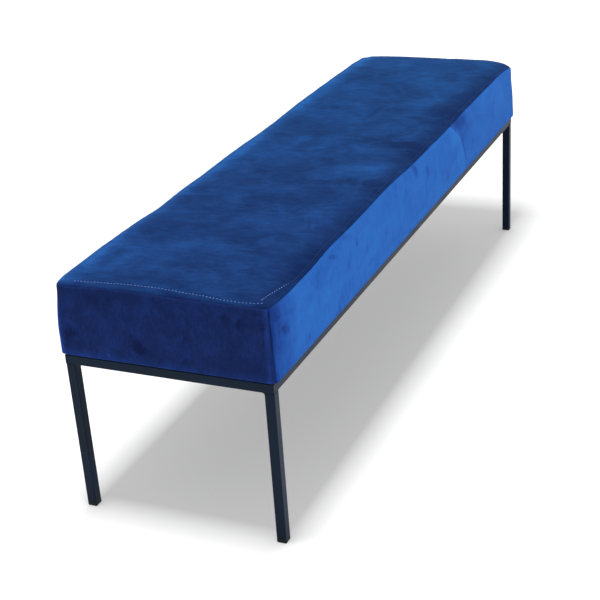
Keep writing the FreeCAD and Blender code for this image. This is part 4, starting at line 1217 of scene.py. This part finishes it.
# ---------------------------------------------------------------------------
# The sewn cover: five closed panels that meet at their seams
# ---------------------------------------------------------------------------

cover = Block()
cover_points = upholstered(cover, details=True)
all_quads = [q for side in cover.quads.values() for q in side]
cover_normals = vertex_normals(cover_points, all_quads)
# the turned-in flaps lie flat under the board
THICK = 0.0011

PANELS = (
    ("cover_top", ("top",), TOP, "cover_top_panel", (1.53, 0.43)),
    ("cover_front", ("front", "base_front"), SIDE, "cover_front_band", (1.53, 0.185)),
    ("cover_rear", ("rear", "base_rear"), SIDE, "cover_rear_band", (1.53, 0.185)),
    ("cover_left_end", ("left", "base_left"), END, "cover_left_end_band", (0.43, 0.185)),
    ("cover_right_end", ("right", "base_right"), END, "cover_right_end_band", (0.43, 0.185)),
)
panels = {}
for name, sides, material, node, flat in PANELS:
    quads = [q for side in sides for q in cover.quads[side]]
    piece = shell(name, cover_points, cover_normals, quads, THICK, material)
    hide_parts(node)
    panels[name] = (piece, flat)

# ---------------------------------------------------------------------------
# Wadding and foam inside the cover
# ---------------------------------------------------------------------------

soft = Block(depth=0.0015, bottom=0.3089, coarse=(0.012, 0.010, 0.009), fine=0.003, low_round=0.004)
soft_points = upholstered(soft, details=False)
soft_quads = [q for side in ("top", "front", "rear", "left", "right") for q in soft.quads[side]]
soft_normals = vertex_normals(soft_points, soft_quads)
soft_points[:, 2] -= 0.0006 * np.clip((soft_points[:, 2] - 0.40) / 0.04, 0, 1)
wadding = shell("wadding_wrap", soft_points, soft_normals, soft_quads, 0.0052, WADDING)
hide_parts("wadding_layer")

core = Block(depth=0.0076, bottom=0.3270, coarse=(0.014, 0.011, 0.010), fine=0.004, flap=9.0, low_round=0.003)
core_points = upholstered(core, details=False)
core_points[:, 2] -= 0.0008 * np.clip((core_points[:, 2] - 0.40) / 0.04, 0, 1)
core_quads = [q for side in core.quads.values() for q in side]
foam = new_mesh("foam_block", core_points, core_quads, FOAM)
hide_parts("foam_core")

# ---------------------------------------------------------------------------
# Topstitching: separate stitches that sink into the fabric at their ends
# ---------------------------------------------------------------------------

top_piece = panels["cover_top"][0]
tree = BVHTree.FromPolygons([v.co[:] for v in top_piece.data.vertices], [p.vertices[:] for p in top_piece.data.polygons])


def surface_at(x, y):
    hit = tree.ray_cast(Vector((x, y, 0.6)), Vector((0, 0, -1)))
    return hit[0], hit[1]


def stitch_mesh(paths, radius, sides=6):
    """Closed thread segments along the given (points, ups) paths."""
    points, faces = [], []
    for path, ups in paths:
        start = len(points)
        count = len(path)
        for index, (p, up) in enumerate(zip(path, ups)):
            ahead = path[min(index + 1, count - 1)] - path[max(index - 1, 0)]
            ahead.normalize()
            across = ahead.cross(up).normalized()
            rise = across.cross(ahead)
            width = radius * (0.55 if index in (0, count - 1) else 1.0)
            for s in range(sides):
                a = 2 * math.pi * s / sides
                points.append(p + (across * math.cos(a) + rise * math.sin(a)) * width)
        for index in range(count - 1):
            for s in range(sides):
                a, b = start + index * sides + s, start + index * sides + (s + 1) % sides
                faces.append((a, b, b + sides, a + sides))
        faces.append(tuple(start + s for s in range(sides))[::-1])
        faces.append(tuple(start + (count - 1) * sides + s for s in range(sides)))
    return points, faces


def stitch_rows():
    rng = np.random.default_rng(77)
    paths = []
    x_line, y_line = HALF_X - END_STITCH, HALF_Y - SIDE_STITCH
    rows = []
    for sx in (-1, 1):
        rows.append(((sx * x_line, -(y_line - 0.007)), (sx * x_line, y_line - 0.022), 0.00635))
    for sy in (-1, 1):
        rows.append(((-(x_line - 0.010), sy * y_line), (x_line - 0.004, sy * y_line), 0.00635))
    for (xa, ya), (xb, yb), pitch in rows:
        length = math.hypot(xb - xa, yb - ya)
        count = int(length / pitch)
        ex, ey = (xb - xa) / length, (yb - ya) / length
        for number in range(count):
            a = number * length / count + 0.0008
            b = a + pitch * 0.40
            side = rng.normal(0, 0.00012)
            path, ups = [], []
            for t, sink in ((0.0, -0.00045), (0.14, 0.00008), (0.5, 0.00026), (0.86, 0.00008), (1.0, -0.00045)):
                at = a + (b - a) * t
                x, y = xa + ex * at - ey * side, ya + ey * at + ex * side
                if ex == 0.0:
                    x -= float(end_row(x, y))
                else:
                    y += float(long_row(x, y))
                hit, up = surface_at(x, y)
                path.append(hit + up * sink)
                ups.append(up.copy())
            paths.append((path, ups))
    return paths


points, faces = stitch_mesh(stitch_rows(), 0.00078)
stitches = new_mesh("topstitch_thread", points, faces, THREAD)
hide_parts("topstitching")

# ---------------------------------------------------------------------------
# Dust cover: thin non-woven cloth, slack between its staples
# ---------------------------------------------------------------------------


def make_dust_cover():
    low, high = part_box("dust_cover")
    half_x, half_y = high.x, high.y
    nx, ny = 240, 66
    gx, gy = np.linspace(-half_x, half_x, nx + 1), np.linspace(-half_y, half_y, ny + 1)
    X, Y = np.meshgrid(gx, gy, indexing="ij")
    flat = np.stack([X.ravel(), Y.ravel(), np.zeros(X.size)], axis=1)
    inside = step(0.162 - np.abs(flat[:, 1]), 0.0, 0.06) * step(0.716 - np.abs(flat[:, 0]), 0.0, 0.06)
    over_rail = step(np.abs(flat[:, 0]), 0.012, 0.05)
    sag = -0.0016 * inside * over_rail * (0.75 + 0.35 * smooth_noise(flat, 0.16, 51))
    ripple = 0.00035 * smooth_noise(flat * np.array([0.5, 1.0, 1.0]), 0.05, 52) * inside * over_rail
    z = 0.30700 + 0.00005 + np.minimum(sag + ripple, 0.0)
    points = np.stack([flat[:, 0], flat[:, 1], z], axis=1)
    bolts = [(x, y) for x in (-0.600, 0.024, 0.600) for y in (-0.1665, 0.1665)]
    quads = []
    for i in range(nx):
        for j in range(ny):
            cx, cy = 0.5 * (gx[i] + gx[i + 1]), 0.5 * (gy[j] + gy[j + 1])
            if any(abs(cx - bx) < 0.0065 and abs(cy - by) < 0.0062 for bx, by in bolts):
                continue
            a = i * (ny + 1) + j
            quads.append((a, a + 1, a + ny + 2, a + ny + 1))
    normals = np.tile(np.array([0.0, 0.0, -1.0]), (len(points), 1))
    # no lower than the tabs' tops where they stand
    for bx, by in bolts:
        near = (np.abs(points[:, 0] - bx) < 0.024) & (np.abs(points[:, 1] - by) < 0.022)
        points[near, 2] = 0.30705
    piece = shell("dust_cloth", points, normals, quads, 0.0005, DUST)
    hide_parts("dust_cover")


make_dust_cover()
